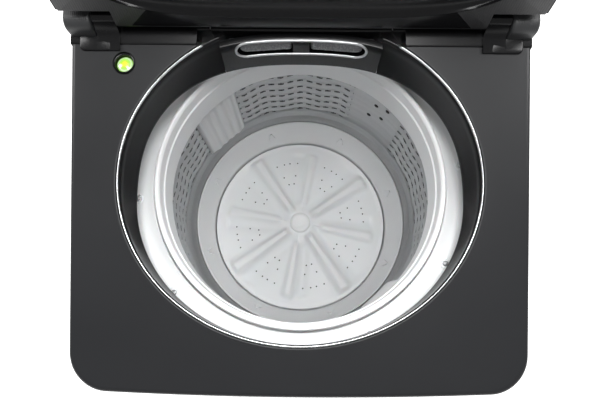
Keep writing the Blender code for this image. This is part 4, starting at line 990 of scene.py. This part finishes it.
# ------------------------------------------------------------
# Rear fascia. A glossy black moulding across the machine in front of the lid, notched round the
# drawer front; graphite shoulders stand on its ends outside the hinge blocks.
fascia_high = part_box("rear_fascia")[1]
pin_low, pin_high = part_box("hinge_pin_right")
HINGE = Vector((0.0, (pin_low.y + pin_high.y) / 2, (pin_low.z + pin_high.z) / 2))
FASCIA_BACK = fascia_high.y
NOTCH_HALF = DRAWER_HALF + 0.029
NOTCH_FRONT = FUNNEL_BACK + DRAWER_THICKNESS + 0.0012
FASCIA_WALL = 0.003


def bar(name, profile, start, end, soft, material, steps=4):
    """A bar across the machine with a closed (y, z) profile and softened ends."""
    low = Vector((min(y for y, z in profile), min(z for y, z in profile)))
    high = Vector((max(y for y, z in profile), max(z for y, z in profile)))
    middle, reach = (low + high) / 2, (high - low) / 2
    loops = []
    for end_x, side in ((start, 1), (end, -1)):
        for step in range(steps + 1) if side > 0 else reversed(range(steps + 1)):
            turn = pi / 2 * step / steps
            shrink = soft * (1 - sin(turn))
            x = end_x + side * soft * (1 - cos(turn))
            loops.append([(x, middle.x + (y - middle.x) * (1 - shrink / reach.x),
                           middle.y + (z - middle.y) * (1 - shrink / reach.y)) for y, z in profile])
    return lofted(name, loops, material)


def fascia_section(x):
    """The fascia's C-shaped section at x, open below."""
    front = DRUM_Y + NOTCH_FRONT if abs(x) < NOTCH_HALF else FASCIA_FRONT
    back, low = FASCIA_BACK, SHELF + 0.0004
    wall = FASCIA_WALL
    points = [(front, low)]
    for step in range(6):
        turn = pi / 2 * step / 5
        y = front + 0.0025 * (1 - cos(turn))
        points.append((y, deck_z(y) + 0.001 - 0.0025 * (1 - sin(turn))))
    for share in (0.3, 0.6, 0.9):
        y = front + (back - front) * share
        points.append((y, deck_z(y) + 0.001))
    for step in range(4):
        turn = pi / 2 * step / 3
        y = back - 0.0015 * (1 - sin(turn))
        points.append((y, deck_z(back) + 0.001 - 0.0015 * (1 - cos(turn))))
    points += [(back, low), (back - wall, low), (back - wall, deck_z(back - wall) + 0.001 - wall),
               (front + wall, deck_z(front + wall) + 0.001 - wall), (front + wall, low)]
    return [(x, y, z) for y, z in points]


stations = [-HALF_WIDTH + 0.0003, -HALF_WIDTH + 0.002] + [-HALF_WIDTH + 0.02 * k for k in range(1, 8)]
stations += [-NOTCH_HALF - 0.0006, -NOTCH_HALF + 0.0006] + [-NOTCH_HALF + NOTCH_HALF * k / 6
                                                            for k in range(1, 6)]
stations = stations + [0.0] + [-x for x in reversed(stations)]
fascia = lofted("rear_fascia_moulding", [fascia_section(x) for x in stations], black)
for side in (-1, 1):
    x, y = side * 0.120, DRUM_Y + 0.176
    cut(fascia, block((x - 0.0007, y - 0.01, deck_z(y) - 0.0015), (x + 0.0007, y + 0.008, deck_z(y) + 0.02)))
place_on(fascia, "root", "black_plastic", "rear_fascia")
bracket_low, bracket_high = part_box("hinge_bracket_right")
shoulder_top, shoulder_front = fascia_high.z, DRUM_Y + 0.1665
ribbed_grey = Finish("shoulder_graphite", IOR=1.5)
fine = ribbed_grey.noise(800.0)
ribs = (ribbed_grey.x * (2 * pi / 0.0026)).math("SINE")
ribbed_grey.feed(Base_Color=ribbed_grey.mix(fine, (0.026, 0.027, 0.028), (0.038, 0.039, 0.041)),
                 Roughness=0.40 + fine * 0.12)
ribbed_grey.bump(ribs * 0.5 + fine * 0.5, 0.00012)
for side, word in ((-1, "left"), (1, "right")):
    back, round_over = FASCIA_BACK - 0.0005, 0.015
    profile = [(shoulder_front, deck_z(shoulder_front) + 0.0008)]
    profile += [(shoulder_front + round_over * (1 - cos(pi / 2 * k / 8)), shoulder_top - round_over
                 * (1 - sin(pi / 2 * k / 8))) for k in range(9)]
    profile += [(back - 0.002, shoulder_top), (back, shoulder_top - 0.002), (back, deck_z(back) + 0.0012)]
    x0, x1 = sorted((side * (bracket_high.x + 0.0004), side * (HALF_WIDTH - 0.0006)))
    place_on(bar(f"hinge_shoulder_{word}", profile, x0, x1, 0.0035, ribbed_grey.material), "root",
             "graphite_plastic")

# ------------------------------------------------------------
# Hinge blocks. Black mouldings screwed through the deck, each with a round crown for the lid's pin
# and a thin foot that reaches forward on to the deck; the pins are zinc-plated steel.
PIN_RADIUS = (pin_high.z - pin_low.z) / 2
CROWN = bracket_high.z - HINGE.z
for side, word in ((-1, "left"), (1, "right")):
    foot_front, foot_back = bracket_low.y, bracket_high.y
    foot_step = foot_front + 0.018
    profile = [(foot_front, deck_z(foot_front) + 0.0014), (foot_front, deck_z(foot_front) + 0.0022),
               (foot_front + 0.0012, deck_z(foot_front) + 0.0030), (foot_step, deck_z(foot_step) + 0.0032),
               (foot_step + 0.003, deck_z(foot_step) + 0.0062)]
    profile += [(HINGE.y + CROWN * cos(pi - pi * k / 16), HINGE.z + CROWN * sin(pi - pi * k / 16))
                for k in range(17)]
    profile += [(foot_back, deck_z(foot_back) + 0.0016)]
    x0, x1 = sorted((side * bracket_low.x, side * (bracket_high.x - 0.0002)))
    hinge_block = bar(f"hinge_block_{word}", profile, x0, x1, 0.0012, black)
    bore = [[(x, y, z) for y, z in circle(HINGE.y, HINGE.z, PIN_RADIUS + 0.0003, 32)]
            for x in (x0 - 0.01, x1 + 0.01)]
    cut(hinge_block, lofted("bore", bore, None))
    place_on(hinge_block, "root", "black_plastic", f"hinge_bracket_{word}")
    pad_x0, pad_x1 = sorted((side * 0.249, side * 0.291))
    pad = [(x, y) for x, y in round_box(pad_x0, pad_x1, foot_front - 0.0002, DRUM_Y + 0.1665, 0.006, 0.001,
                                        6)]
    levels = ((0.0, 0.0004), (0.0, 0.0020), (0.0004, 0.0027), (0.0012, 0.0031))
    middle = (pad_x0 + pad_x1) / 2
    loops = [[(middle + (x - middle) * (1 - inset / 0.021), y + (inset if y < foot_front + 0.01 else 0.0),
               deck_z(y) + rise) for x, y in pad] for inset, rise in levels]
    place_on(lofted(f"hinge_foot_{word}", loops, black), "root", "black_plastic")
    low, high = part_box(f"hinge_pin_{word}")
    place_on(bar(f"hinge_pin_rod_{word}", circle(HINGE.y, HINGE.z, PIN_RADIUS, 32), low.x, high.x, 0.0008,
                 zinc.material), "lid", "zinc_steel", f"hinge_pin_{word}")

# ------------------------------------------------------------
# Lid. A graphite outer frame with a tinted glass pane, and a glossy black inner panel dished in two
# steps round the window; two knuckles on its rear edge carry the hinge pins.
LEAN = radians(10.0)
AWAY = Vector((0.0, sin(LEAN), cos(LEAN)))
INNER = Vector((0.0, -cos(LEAN), sin(LEAN)))
HALF_THICK, HEEL, LENGTH = 0.013, 0.0065, 0.475
LID_NOTCH = 0.023
WINDOW_HALF, WINDOW_NEAR, WINDOW_FAR = 0.205, 0.075, 0.405
LID_MIDDLE = (WINDOW_NEAR + WINDOW_FAR) / 2
LID_PLAN = round_box(-HALF_WIDTH, HALF_WIDTH, -HEEL, LENGTH, 0.006, 0.048, 16, 0.006)


def lid_place(x, v, w):
    """From the lid's own frame to its open place: v away from the hinge, w to the inner side."""
    return HINGE + Vector((x, 0.0, 0.0)) + AWAY * v + INNER * w


def lid_outline(inset, w):
    """The lid's outline moved inwards."""
    middle, reach = (LENGTH - HEEL) / 2, (LENGTH + HEEL) / 2
    return [lid_place(x * (HALF_WIDTH - inset) / HALF_WIDTH, middle + (v - middle) * (reach - inset) / reach,
                      w)
            for x, v in LID_PLAN]


def lid_contour(half, near, far, power, w):
    """A rounded contour round the window, one point for each point of the outline."""
    loop = []
    for x, v in LID_PLAN:
        reach_v = far - LID_MIDDLE if v > LID_MIDDLE else LID_MIDDLE - near
        across, along = abs(x) / half, abs(v - LID_MIDDLE) / reach_v
        reach = (across ** power + along ** power) ** (1 / power)
        loop.append(lid_place(x / reach, LID_MIDDLE + (v - LID_MIDDLE) / reach, w))
    return loop


def window(grow, w):
    return lid_contour(WINDOW_HALF + grow, WINDOW_NEAR - grow, WINDOW_FAR + grow, 6, w)


t = HALF_THICK
shell = [lid_outline(0.0004, t - 0.002), lid_outline(0.0, t - 0.0026)]
for step in range(7):
    turn = pi / 2 * step / 6
    shell.append(lid_outline(0.005 * (1 - cos(turn)), -t + 0.005 * (1 - sin(turn))))
shell += [window(0.0015, -t), window(0.0004, -t + 0.0004), window(0.0, -t + 0.0015), window(0.0, -t + 0.003),
          lid_outline(0.004, -t + 0.003), lid_outline(0.003, t - 0.002)]
lid_shell = lofted("lid_outer_shell", shell, graphite, close=True)
# Each contour of the inner panel: half width, near and far edges, roundness and height.
DISH = (0.287, 0.0155, 0.462, 4.0)
SHALLOW = (0.281, 0.0380, 0.448, 6.0)
STEP = (0.277, 0.0415, 0.445, 6.0)
DEEP = (0.262, 0.0540, 0.432, 6.0)
SHALLOW_W, DEEP_W = t - 0.0055, t - 0.0090


def between(first, second, share, w):
    """A contour part of the way between two others."""
    return lid_contour(*(a + (b - a) * share for a, b in zip(first, second)), w)


rim_inset = 0.0034
inner = [lid_outline(rim_inset, t - 0.010), lid_outline(rim_inset, t - 0.0012),
         lid_outline(rim_inset + 0.0004,
         t - 0.0004), lid_outline(rim_inset + 0.0012, t)]
outer_edge = (DISH[0] + 0.0015, DISH[1] - 0.0015, DISH[2] + 0.0015, DISH[3])
inner += [between(outer_edge, DISH, share, t + rise) for share,
          rise in ((0.0, 0.0), (0.3, 0.0005), (0.7, 0.0007),
                                                                        (1.0, 0.0003))]
for first, second, top, low in ((DISH, SHALLOW, t, SHALLOW_W), (STEP, DEEP, SHALLOW_W, DEEP_W)):
    for k in range(1, 8):
        share = k / 7
        inner.append(between(first, second, share, low + (top - low) * (1 - share) ** 2))
    if first is DISH:
        inner.append(between(STEP, DEEP, 0.0, SHALLOW_W))
        inner.append(between(STEP, DEEP, 0.04, SHALLOW_W + 0.0003))
SEAT = -t + 0.003 + 0.0004 + 0.004
inner += [window(0.010, DEEP_W), window(0.006, DEEP_W - 0.0006), window(0.004, DEEP_W - 0.002), window(0.002,
          SEAT + 0.002), window(0.0, SEAT + 0.0006)]
inner += [window(0.004, SEAT + 0.0006), window(0.012, DEEP_W - 0.004),
          lid_outline(rim_inset + 0.003, t - 0.006),
          lid_outline(rim_inset + 0.003, t - 0.010)]
inner_panel = lofted("lid_inner_moulding", inner, black, close=True, sharp=30)
ribbed_black = Finish("ribbed_black", IOR=1.5)
fine = ribbed_black.noise(900.0)
weave = (ribbed_black.x * (2 * pi / 0.0030)).math("SINE") * 0.5 + (ribbed_black.z
                                                                   * (2 * pi / 0.0016)).math("SINE") * 0.5
ribbed_black.feed(Base_Color=ribbed_black.mix(fine, (0.020, 0.020, 0.021), (0.032, 0.032, 0.034)),
                  Roughness=0.42 + fine * 0.1)
ribbed_black.bump(weave * 0.5 + 0.5, 0.00025)
inner_panel.data.materials.append(ribbed_black.material)
for polygon in inner_panel.data.polygons:
    offset = polygon.center - HINGE
    x, v, w = abs(offset.x), offset.dot(AWAY), offset.dot(INNER)
    reach = (x / DISH[0]) ** 4 + (abs(v - LID_MIDDLE) / (LID_MIDDLE - DISH[1])) ** 4
    if w > t - 0.0008 and reach > 1.02 and x > 0.205:
        polygon.material_index = 1
for side in (-1, 1):
    x0, x1 = sorted((side * (bracket_low.x - 0.0015), side * 0.4))
    for target in (lid_shell, inner_panel):
        notch = [[lid_place(x, v, w) for x, v in ((x0, -0.05), (x1, -0.05), (x1, LID_NOTCH), (x0, LID_NOTCH))]
                 for w in (-0.05, 0.05)]
        cut(target, lofted("notch", notch, None))
    k0, k1 = sorted((side * (bracket_low.x - 0.022), side * (bracket_low.x - 0.0015)))
    room = [[lid_place(x, v, w) for x, v in ((k0 - 0.0004, -0.05), (k1 + 0.0004, -0.05),
                                             (k1 + 0.0004, 0.0104),
                                             (k0 - 0.0004, 0.0104))] for w in (-0.05, t - 0.0056)]
    cut(inner_panel, lofted("room", room, None))
    profile = [lid_place(0.0, 0.010, -t + 0.001), lid_place(0.0, 0.0, -t + 0.001)]
    for k in range(9):
        turn = pi / 2 * k / 8
        profile.append(lid_place(0.0, -(HEEL - 0.0005) * sin(turn), (-t + 0.001) * cos(turn)))
    for k in range(1, 9):
        turn = pi / 2 * k / 8
        profile.append(lid_place(0.0, -(HEEL - 0.0005) * cos(turn), (t - 0.006) * sin(turn)))
    profile.append(lid_place(0.0, 0.010, t - 0.006))
    knuckle = bar("lid_knuckle_left" if side < 0 else "lid_knuckle_right", [(q.y, q.z) for q in profile],
                  k0, k1, 0.0008, graphite)
    place_on(knuckle, "lid", "graphite_plastic")
place_on(lid_shell, "lid", "graphite_plastic", "lid_frame")
place_on(inner_panel, "lid", "black_plastic", "lid_inner_panel")
tinted = Finish("tinted_glass_pane", Transmission_Weight=0.75, IOR=1.5, Coat_Weight=0.3, Coat_Roughness=0.03)
smear = tinted.noise(4.0, 3.0)
tinted.feed(Base_Color=tinted.mix(smear, (0.045, 0.047, 0.050), (0.060, 0.062, 0.066)),
            Roughness=0.02 + smear * 0.03)
tinted.bump(tinted.noise(2.5), 0.0002)
pane = [window(0.0135, -t + 0.0034), window(0.015, -t + 0.0044), window(0.015, SEAT - 0.001),
        window(0.0135, SEAT)]
place_on(lofted("lid_glass_pane", pane, tinted.material), "lid", "tinted_glass", "lid_glass")

# ------------------------------------------------------------
# Cabinet. Pre-painted steel sheet folded round the machine, with one shallow pressed panel in each
# side for stiffness and a large service window behind.
cabinet_low, cabinet_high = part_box("cabinet")
SHELL_INSET, SHELL_REAR_INSET = 0.002, 0.012
paint = Finish("painted_steel", Coat_Weight=0.45, Coat_Roughness=0.10, IOR=1.5)
peel, tone = paint.noise(260.0, 2.0), paint.noise(3.0, 3.0)
paint.feed(Base_Color=paint.mix(tone * 0.6 + peel * 0.4, (0.036, 0.037, 0.039), (0.046, 0.047, 0.050)),
           Roughness=0.34 + tone * 0.08)
paint.bump(peel, 0.00003)


def ease(value, low, high):
    """0 below low, 1 above high, smooth between."""
    share = max(0.0, min(1.0, (value - low) / (high - low)))
    return share * share * (3 - 2 * share)


def pressed(y, z):
    """Depth of the pressed panel in the cabinet's side, 0 to 1."""
    y0, y1 = FRONT + 0.085, REAR - 0.075
    z0, z1 = cabinet_low.z + 0.070, cabinet_high.z - 0.070
    soft = 0.014
    return ease(y, y0, y0 + soft) * ease(-y, -y1, -y1 + soft) * ease(z, z0, z0 + soft) * ease(-z, -z1,
                                                                                              -z1 + soft)


heights = [cabinet_low.z, cabinet_low.z + 0.002]
while heights[-1] < cabinet_high.z - 0.008:
    near_edge = min(abs(heights[-1] - cabinet_low.z - 0.077),
                    abs(heights[-1] - cabinet_high.z + 0.077)) < 0.014
    heights.append(heights[-1] + (0.0025 if near_edge else 0.009))
heights.append(cabinet_high.z)
loops = []
for z in heights:
    loop = plan_loop(SHELL_INSET, z, SHELL_REAR_INSET)
    loops.append([(x - (0.0035 * pressed(y, z) * (1 if x > 0 else -1) if abs(x) > HALF_WIDTH - 0.004
                        else 0.0), y, z)
                  for x, y, z in loop])
inside = [[(x * 0.9965, y * 0.9965, z) for x, y, z in loop] for loop in (loops[-1], loops[0])]
deep = [[(x - (0.0045 if x > 0 else -0.0045) * (abs(x) > HALF_WIDTH - 0.01), y, z) for x, y, z in loop]
        for loop in inside]
cabinet = lofted("cabinet_shell", loops + deep, paint.material, close=True)
cover_low, cover_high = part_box("rear_cover")
LAP = 0.015
window_plan = round_box(cover_low.x + LAP, cover_high.x - LAP, cover_low.z + LAP, cover_high.z - LAP, 0.012,
                        0.012, 8, 1.0)
cut(cabinet, lofted("service_window", [[(x, y, z) for x, z in window_plan]
                                       for y in (REAR - 0.05, REAR + 0.05)], None))
place_on(cabinet, "root", "painted_steel", "cabinet")

# ------------------------------------------------------------
# Rear cover and cord gland. Galvanised sheet behind the service window with two pressed beads and
# hexagon-flange screws round its edge; the cord's rubber gland sits low on one side.
COVER_FACE = cover_high.y
verts, faces = [], []
across = [cover_low.x + (cover_high.x - cover_low.x) * k / 96 for k in range(97)]
upward = [cover_low.z + (cover_high.z - cover_low.z) * k / 120 for k in range(121)]


def bead_depth(x, z):
    """Depth of the stiffening beads pressed into the rear cover."""
    depth = 0.0
    for place in (-0.13, 0.0, 0.13):
        depth += ease(0.016 - abs(x - place), 0.0, 0.010)
    return depth * ease(z, cover_low.z + 0.10, cover_low.z + 0.13) * ease(-z, -cover_high.z + 0.05,
                                                                          -cover_high.z + 0.08)


for depth in (0.0, cover_high.y - cover_low.y):
    verts += [(x, COVER_FACE - 0.0028 * bead_depth(x, z) - depth, z) for z in upward for x in across]
wide, tall = len(across), len(upward)
for side in (0, 1):
    start = side * wide * tall
    faces += [(start + r * wide + c, start + r * wide + c + 1, start + (r + 1) * wide + c + 1,
               start + (r + 1) * wide + c)
              for r in range(tall - 1) for c in range(wide - 1)]
edge = ([c for c in range(wide)] + [r * wide + wide - 1 for r in range(1, tall)]
        + [(tall - 1) * wide + c for c in range(wide - 2, -1, -1)]
        + [r * wide for r in range(tall - 2, 0, -1)])
for here, after in zip(edge, edge[1:] + edge[:1]):
    faces.append((here, after, after + wide * tall, here + wide * tall))
rear_cover = piece("rear_cover_sheet", verts, faces, zinc.material)
gland_low, gland_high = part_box("cord_gland")
gx, gz = (gland_low.x + gland_high.x) / 2, (gland_low.z + gland_high.z) / 2
GLAND = (gland_high.x - gland_low.x) / 2


def lying(thing, x, y, z):
    """Turn a mesh made about the upright axis so that it points backwards at a place."""
    thing.data.transform(Matrix.Translation((x, y, z)) @ Matrix.Rotation(-pi / 2, 4, "X"))
    return thing


hole = turned("gland_hole", [(0.0, -0.02), (GLAND * 0.6, -0.02), (GLAND * 0.6, 0.02), (0.0, 0.02)], None,
              (0.0, 0.0), 48)
cut(rear_cover, lying(hole, gx, COVER_FACE, gz))
place_on(rear_cover, "root", "zinc_steel", "rear_cover")
rubber = moulded("black_rubber", (0.012, 0.012, 0.012), (0.022, 0.022, 0.022), 0.68, 500.0, 0.00006)
depth = gland_high.y - gland_low.y
section = [(GLAND * 0.40, 0.0), (GLAND, 0.0), (GLAND, depth * 0.25), (GLAND * 0.82, depth * 0.35),
           (GLAND * 0.82, depth
           * 0.45), (GLAND * 0.74, depth * 0.5), (GLAND * 0.74, depth * 0.62), (GLAND * 0.64, depth * 0.7),
           (GLAND * 0.60, depth), (GLAND * 0.40, depth)]
gland = turned("cord_gland_bush", soften(section, 0.0005), rubber, (0.0, 0.0), 64)
place_on(lying(gland, gx, gland_low.y, gz), "root", "rubber", "cord_gland")
places = [(x, z) for x in (-0.230, -0.115, 0.0, 0.115, 0.230)
          for z in (cover_high.z - 0.0225, cover_low.z + 0.0075)]
places += [(side * (cover_high.x - 0.0075), cover_low.z + (cover_high.z - cover_low.z) * k / 4)
           for side in (-1, 1)
           for k in (1, 2, 3)]
screw_model = screw_shape(0.0042)
for n, (x, z) in enumerate(places):
    edge_x = abs(x) > cover_high.x - LAP
    head = bpy.data.objects.new(f"rear_screw_{n}", screw_model.data.copy())
    bpy.context.scene.collection.objects.link(head)
    head.data.materials.append(zinc.material)
    y = REAR - SHELL_REAR_INSET if edge_x or abs(z - cover_low.z) < LAP else COVER_FACE
    place_on(lying(head, x, y + 0.0004, z), "root", "zinc_steel")
bpy.data.objects.remove(screw_model)

# ------------------------------------------------------------
# Base frame and feet. A moulded black plinth under the cabinet; four levelling feet with a rubber
# pad, a lock nut and a threaded stud screw into its corners.
base_frame_low, base_frame_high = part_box("base_frame")
FOOT_TOP, PLINTH_TOP, RAIL = base_frame_low.z, base_frame_high.z, 0.055
plinth = []
for inset, z in ((0.0, FOOT_TOP + 0.003), (0.0, PLINTH_TOP - 0.006), (0.0008, PLINTH_TOP - 0.0052),
                 (0.0008, PLINTH_TOP
                 - 0.0035), (0.0, PLINTH_TOP - 0.0028), (0.0, PLINTH_TOP - 0.0006), (0.0006, PLINTH_TOP)):
    plinth.append(plan_loop(SHELL_INSET + inset, z, SHELL_REAR_INSET + inset))
for inset, z in ((RAIL - 0.001, PLINTH_TOP), (RAIL, PLINTH_TOP - 0.001), (RAIL, FOOT_TOP + 0.001),
                 (RAIL - 0.001,
                 FOOT_TOP), (0.010, FOOT_TOP), (0.003, FOOT_TOP)):
    plinth.append(plan_loop(SHELL_INSET + inset, z, SHELL_REAR_INSET + inset))
place_on(lofted("plinth", plinth, black, close=True), "root", "black_plastic", "base_frame")
for end in ("front", "rear"):
    for word in ("left", "right"):
        low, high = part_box(f"foot_{end}_{word}")
        x, y, r, top = (low.x + high.x) / 2, (low.y + high.y) / 2, (high.x - low.x) / 2, high.z
        section = [(0.0, 0.0), (r - 0.003, 0.0), (r, 0.003), (r, 0.0085), (r - 0.003, 0.0115),
                   (0.011, 0.012), (0.0, 0.012)]
        pad = turned(f"foot_pad_{end}_{word}", soften(section[1:-1], 0.0008), rubber, (x, y), 72)
        place_on(pad, "root", "rubber", f"foot_{end}_{word}")
        nut = [[(px, py, z) for px, py in circle(x, y, 0.0105, 6)] for z in (0.0122, 0.0165)]
        stud = [(0.0, 0.012)]
        for turn in range(9):
            stud += [(0.0052, 0.012 + turn * 0.0009), (0.0060, 0.01245 + turn * 0.0009)]
        stud += [(0.0052, top), (0.0, top)]
        place_on(lofted(f"foot_nut_{end}_{word}", nut, zinc.material), "root", "zinc_steel")
        place_on(turned(f"foot_stud_{end}_{word}", stud, zinc.material, (x, y), 40), "root", "zinc_steel")

# ------------------------------------------------------------
# Rear console. A graphite cover behind the lid, rising towards the wall, with a black glass control
# panel let into its top: four push buttons, a display window and a row of indicator lamps.
panel_low, panel_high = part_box("control_panel")
GRADIENT = 0.25
CONSOLE_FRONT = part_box("rear_console")[0].y
CONSOLE_RISE = DECK_HEIGHT + 0.062


def console_z(y):
    """Height of the console's sloping top."""
    return CONSOLE_RISE + (y - CONSOLE_FRONT) * GRADIENT


CONSOLE_PLAN = round_box(-HALF_WIDTH, HALF_WIDTH, CONSOLE_FRONT, REAR, 0.003, 0.020, 10, 0.03)


def console_loop(inset, height):
    """The console's outline moved inwards; height is a number or a function of y."""
    middle, reach = (CONSOLE_FRONT + REAR) / 2, (REAR - CONSOLE_FRONT) / 2
    loop = []
    for x, y in CONSOLE_PLAN:
        new_y = middle + (y - middle) * (reach - inset) / reach
        loop.append((x * (HALF_WIDTH - inset) / HALF_WIDTH, new_y,
                     height(new_y) if callable(height) else height))
    return loop


console_floor = SHELF + 0.0004
cover_loops = [console_loop(0.0006, console_floor), console_loop(0.0002, console_floor + 0.001)]
for step in range(6):
    turn = pi / 2 * step / 5
    cover_loops.append(console_loop(0.0002 + 0.003 * (1 - cos(turn)),
                                    lambda y: console_z(y) - 0.003 * (1 - sin(turn))))
outer_count = len(cover_loops)
cover_loops += [console_loop(0.0032, lambda y: console_z(y) - 0.003), console_loop(0.0032, console_floor)]
count = len(CONSOLE_PLAN)
verts = [p for loop in cover_loops for p in loop]
faces = []
for k in range(outer_count - 1):
    faces += ring_faces(k * count, (k + 1) * count, count)
last = outer_count * count
faces += ring_faces(last, last + count, count) + ring_faces(last + count, 0, count)
faces += [tuple((outer_count - 1) * count + i for i in range(count)), tuple(last + i for i in range(count))]
console = piece("console_cover", verts, faces, graphite)
tray_low, tray_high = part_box("drawer_tray")
cut(console, block((tray_low.x - 0.008, CONSOLE_FRONT - 0.01, SHELF - 0.01),
                   (tray_high.x + 0.008, CONSOLE_FRONT
                                                                             + 0.012, tray_high.z + 0.003)))
panel_plan = round_box(panel_low.x, panel_high.x, panel_low.y, panel_high.y, 0.006, 0.006, 10, 0.03)
panel_middle = (panel_low.y + panel_high.y) / 2
loops = []
for inset, rise in ((0.0008, 0.0004), (0.0, 0.0008), (0.0, 0.0014), (0.0003, 0.0018), (0.0010, 0.0020)):
    loops.append([(x * (1 - inset / 0.25), panel_middle + (y - panel_middle) * (1 - inset / 0.03),
                   console_z(panel_middle + (y - panel_middle) * (1 - inset / 0.03)) + rise) for x,
                   y in panel_plan])
glass_black = Finish("black_glass", Coat_Weight=0.6, Coat_Roughness=0.02, IOR=1.5)
smear = glass_black.noise(9.0, 3.0)
glass_black.feed(Base_Color=glass_black.mix(smear, (0.006, 0.006, 0.007), (0.010, 0.010, 0.012)),
                 Roughness=0.05 + smear * 0.05)
glass_black.bump(glass_black.noise(3.0), 0.0001)
panel = lofted("control_panel_glass", loops, glass_black.material)
BUTTONS = ("power_button", "program_button", "water_level_button", "start_pause_button")
TILT = Matrix.Rotation(atan2(GRADIENT, 1.0), 4, "X")
for name in BUTTONS:
    low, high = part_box(name)
    centre = (low + high) / 2
    radius = (high.x - low.x) / 2
    axis = TILT @ Vector((0.0, 0.0, 1.0))
    base = centre - axis * (centre - Vector((centre.x, centre.y, console_z(centre.y)))).dot(axis)
    for target in (console, panel):
        drill = turned("drill", [(0.0, -0.01), (radius + 0.0004, -0.01), (radius + 0.0004, 0.01),
                                 (0.0, 0.01)], None,
                       (0.0, 0.0), 64)
        drill.data.transform(Matrix.Translation(base) @ TILT)
        cut(target, drill)
    top = (high - base).dot(axis)
    section = [(0.0, -0.006), (radius, -0.006), (radius, 0.0036), (radius - 0.0004, 0.0042),
               (radius - 0.0012, 0.0046),
               (radius - 0.0020, 0.0043), (radius - 0.0026, 0.0039), (radius * 0.4, 0.0036), (0.0, 0.0035)]
    button = turned(name + "_cap", section, silver.material, (0.0, 0.0), 96)
    button.data.transform(Matrix.Translation(base) @ TILT)
    place_on(button, name, "chrome_plating", name)
    lamp = turned(name + "_lamp", [(0.0, 0.0016), (0.0012, 0.0016), (0.0012, 0.0021), (0.0009, 0.0024),
                                   (0.0, 0.0025)],
                  flap_grey, (0.0, 0.0), 24)
    lamp.data.transform(Matrix.Translation(base + TILT @ Vector((0.0, 0.0185, 0.0))) @ TILT)
    place_on(lamp, "root", "tinted_glass")
place_on(console, "root", "graphite_plastic", "rear_console")
place_on(panel, "root", "tinted_glass", "control_panel")
display_plan = round_box(-0.118, -0.020, panel_middle - 0.016, panel_middle + 0.016, 0.003, 0.003, 6, 1.0)
display = [[(x, y, console_z(y) + rise) for x, y in display_plan] for rise in (0.0019, 0.0023)]
place_on(lofted("display_window", display, glass_black.material), "root", "tinted_glass")

# ------------------------------------------------------------
# Pieces kept as the frame has them. The drawer's tray and housing, valve, board, tub, suspension,
# drive and pump are seen only when something is open, and take the same finishes.
winding = Finish("copper_winding", Metallic=0.9)
wire = winding.noise(500.0, 2.0, (1.0, 1.0, 12.0))
winding.feed(Base_Color=winding.mix(wire, (0.32, 0.13, 0.04), (0.62, 0.30, 0.12)),
             Roughness=0.32 + wire * 0.2)
winding.bump(wire, 0.0003)
board_green = Finish("circuit_board", Coat_Weight=0.4)
track = board_green.noise(240.0, 1.0, (1.0, 6.0, 1.0))
board_green.feed(Base_Color=board_green.mix(track.smooth(0.48, 0.52), (0.010, 0.10, 0.035),
                                            (0.020, 0.20, 0.070)),
                 Roughness=0.35 + track * 0.1)
board_green.bump(track.smooth(0.48, 0.52), 0.00005)
FINISHES = {"painted_steel": paint.material, "graphite_plastic": graphite, "black_plastic": black,
            "white_plastic": white_plastic, "stainless_steel": steel.material, "zinc_steel": zinc.material,
            "chrome_plating": chrome.material, "rubber": rubber, "tinted_glass": glass_black.material,
            "level_fluid": vial_green.material, "copper_winding": winding.material,
            "circuit_board": board_green.material}
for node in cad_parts.values():
    for slot in node.material_slots:
        slot.material = FINISHES[slot.material.name.split(".")[0]]

# ------------------------------------------------------------
# Studio. A white floor, soft lights overhead, behind and on both sides, and the camera above the
# user's head, looking down into the drum.
floor_mesh = block((-6.0, -6.0, -0.02), (6.0, 6.0, 0.0))
floor_mesh.name = "studio_floor"
floor_white = Finish("studio_white")
floor_white.feed(Base_Color=floor_white.mix(floor_white.noise(2.0), (0.93, 0.93, 0.93), (0.95, 0.95, 0.95)),
                 Roughness=0.85, Emission_Color=(1.0, 1.0, 1.0), Emission_Strength=0.55)
floor_mesh.data.materials.append(floor_white.material)
world = bpy.data.worlds.new("studio")
world.use_nodes = True
world.node_tree.nodes["Background"].inputs["Color"].default_value = (1.0, 1.0, 1.0, 1.0)
world.node_tree.nodes["Background"].inputs["Strength"].default_value = 0.36
bpy.context.scene.world = world


def softbox(name, place, aim, size, power):
    """A rectangular soft light that looks at a point."""
    lamp = bpy.data.lights.new(name, "AREA")
    lamp.shape = "RECTANGLE"
    lamp.size, lamp.size_y = size
    lamp.energy = power
    thing = bpy.data.objects.new(name, lamp)
    bpy.context.scene.collection.objects.link(thing)
    thing.location = place
    thing.rotation_euler = (Vector(aim) - Vector(place)).to_track_quat("-Z", "Y").to_euler()


softbox("overhead", (0.05, DRUM_Y, 3.0), (0.0, DRUM_Y, 0.8), (0.9, 0.9), 28.0)
softbox("rear_high", (0.1, 1.35, 3.0), (0.0, FRONT, 0.9), (1.8, 1.0), 62.0)
softbox("left_side", (-2.3, 0.7, 2.7), (0.0, DRUM_Y, 0.9), (1.2, 1.2), 48.0)
softbox("right_side", (2.1, 0.8, 3.0), (0.0, DRUM_Y, 0.9), (1.2, 1.2), 52.0)
bpy.context.scene.view_settings.view_transform = "Standard"
camera = bpy.data.cameras.new("camera")
camera.lens, camera.sensor_width = 30.0, 36.0
view = bpy.data.objects.new("camera", camera)
bpy.context.scene.collection.objects.link(view)
view.location = (0.0013, DRUM_Y - 0.176, DECK_HEIGHT + 0.636)
view.rotation_euler = (radians(11.8), 0.0, radians(0.5))
bpy.context.scene.camera = view
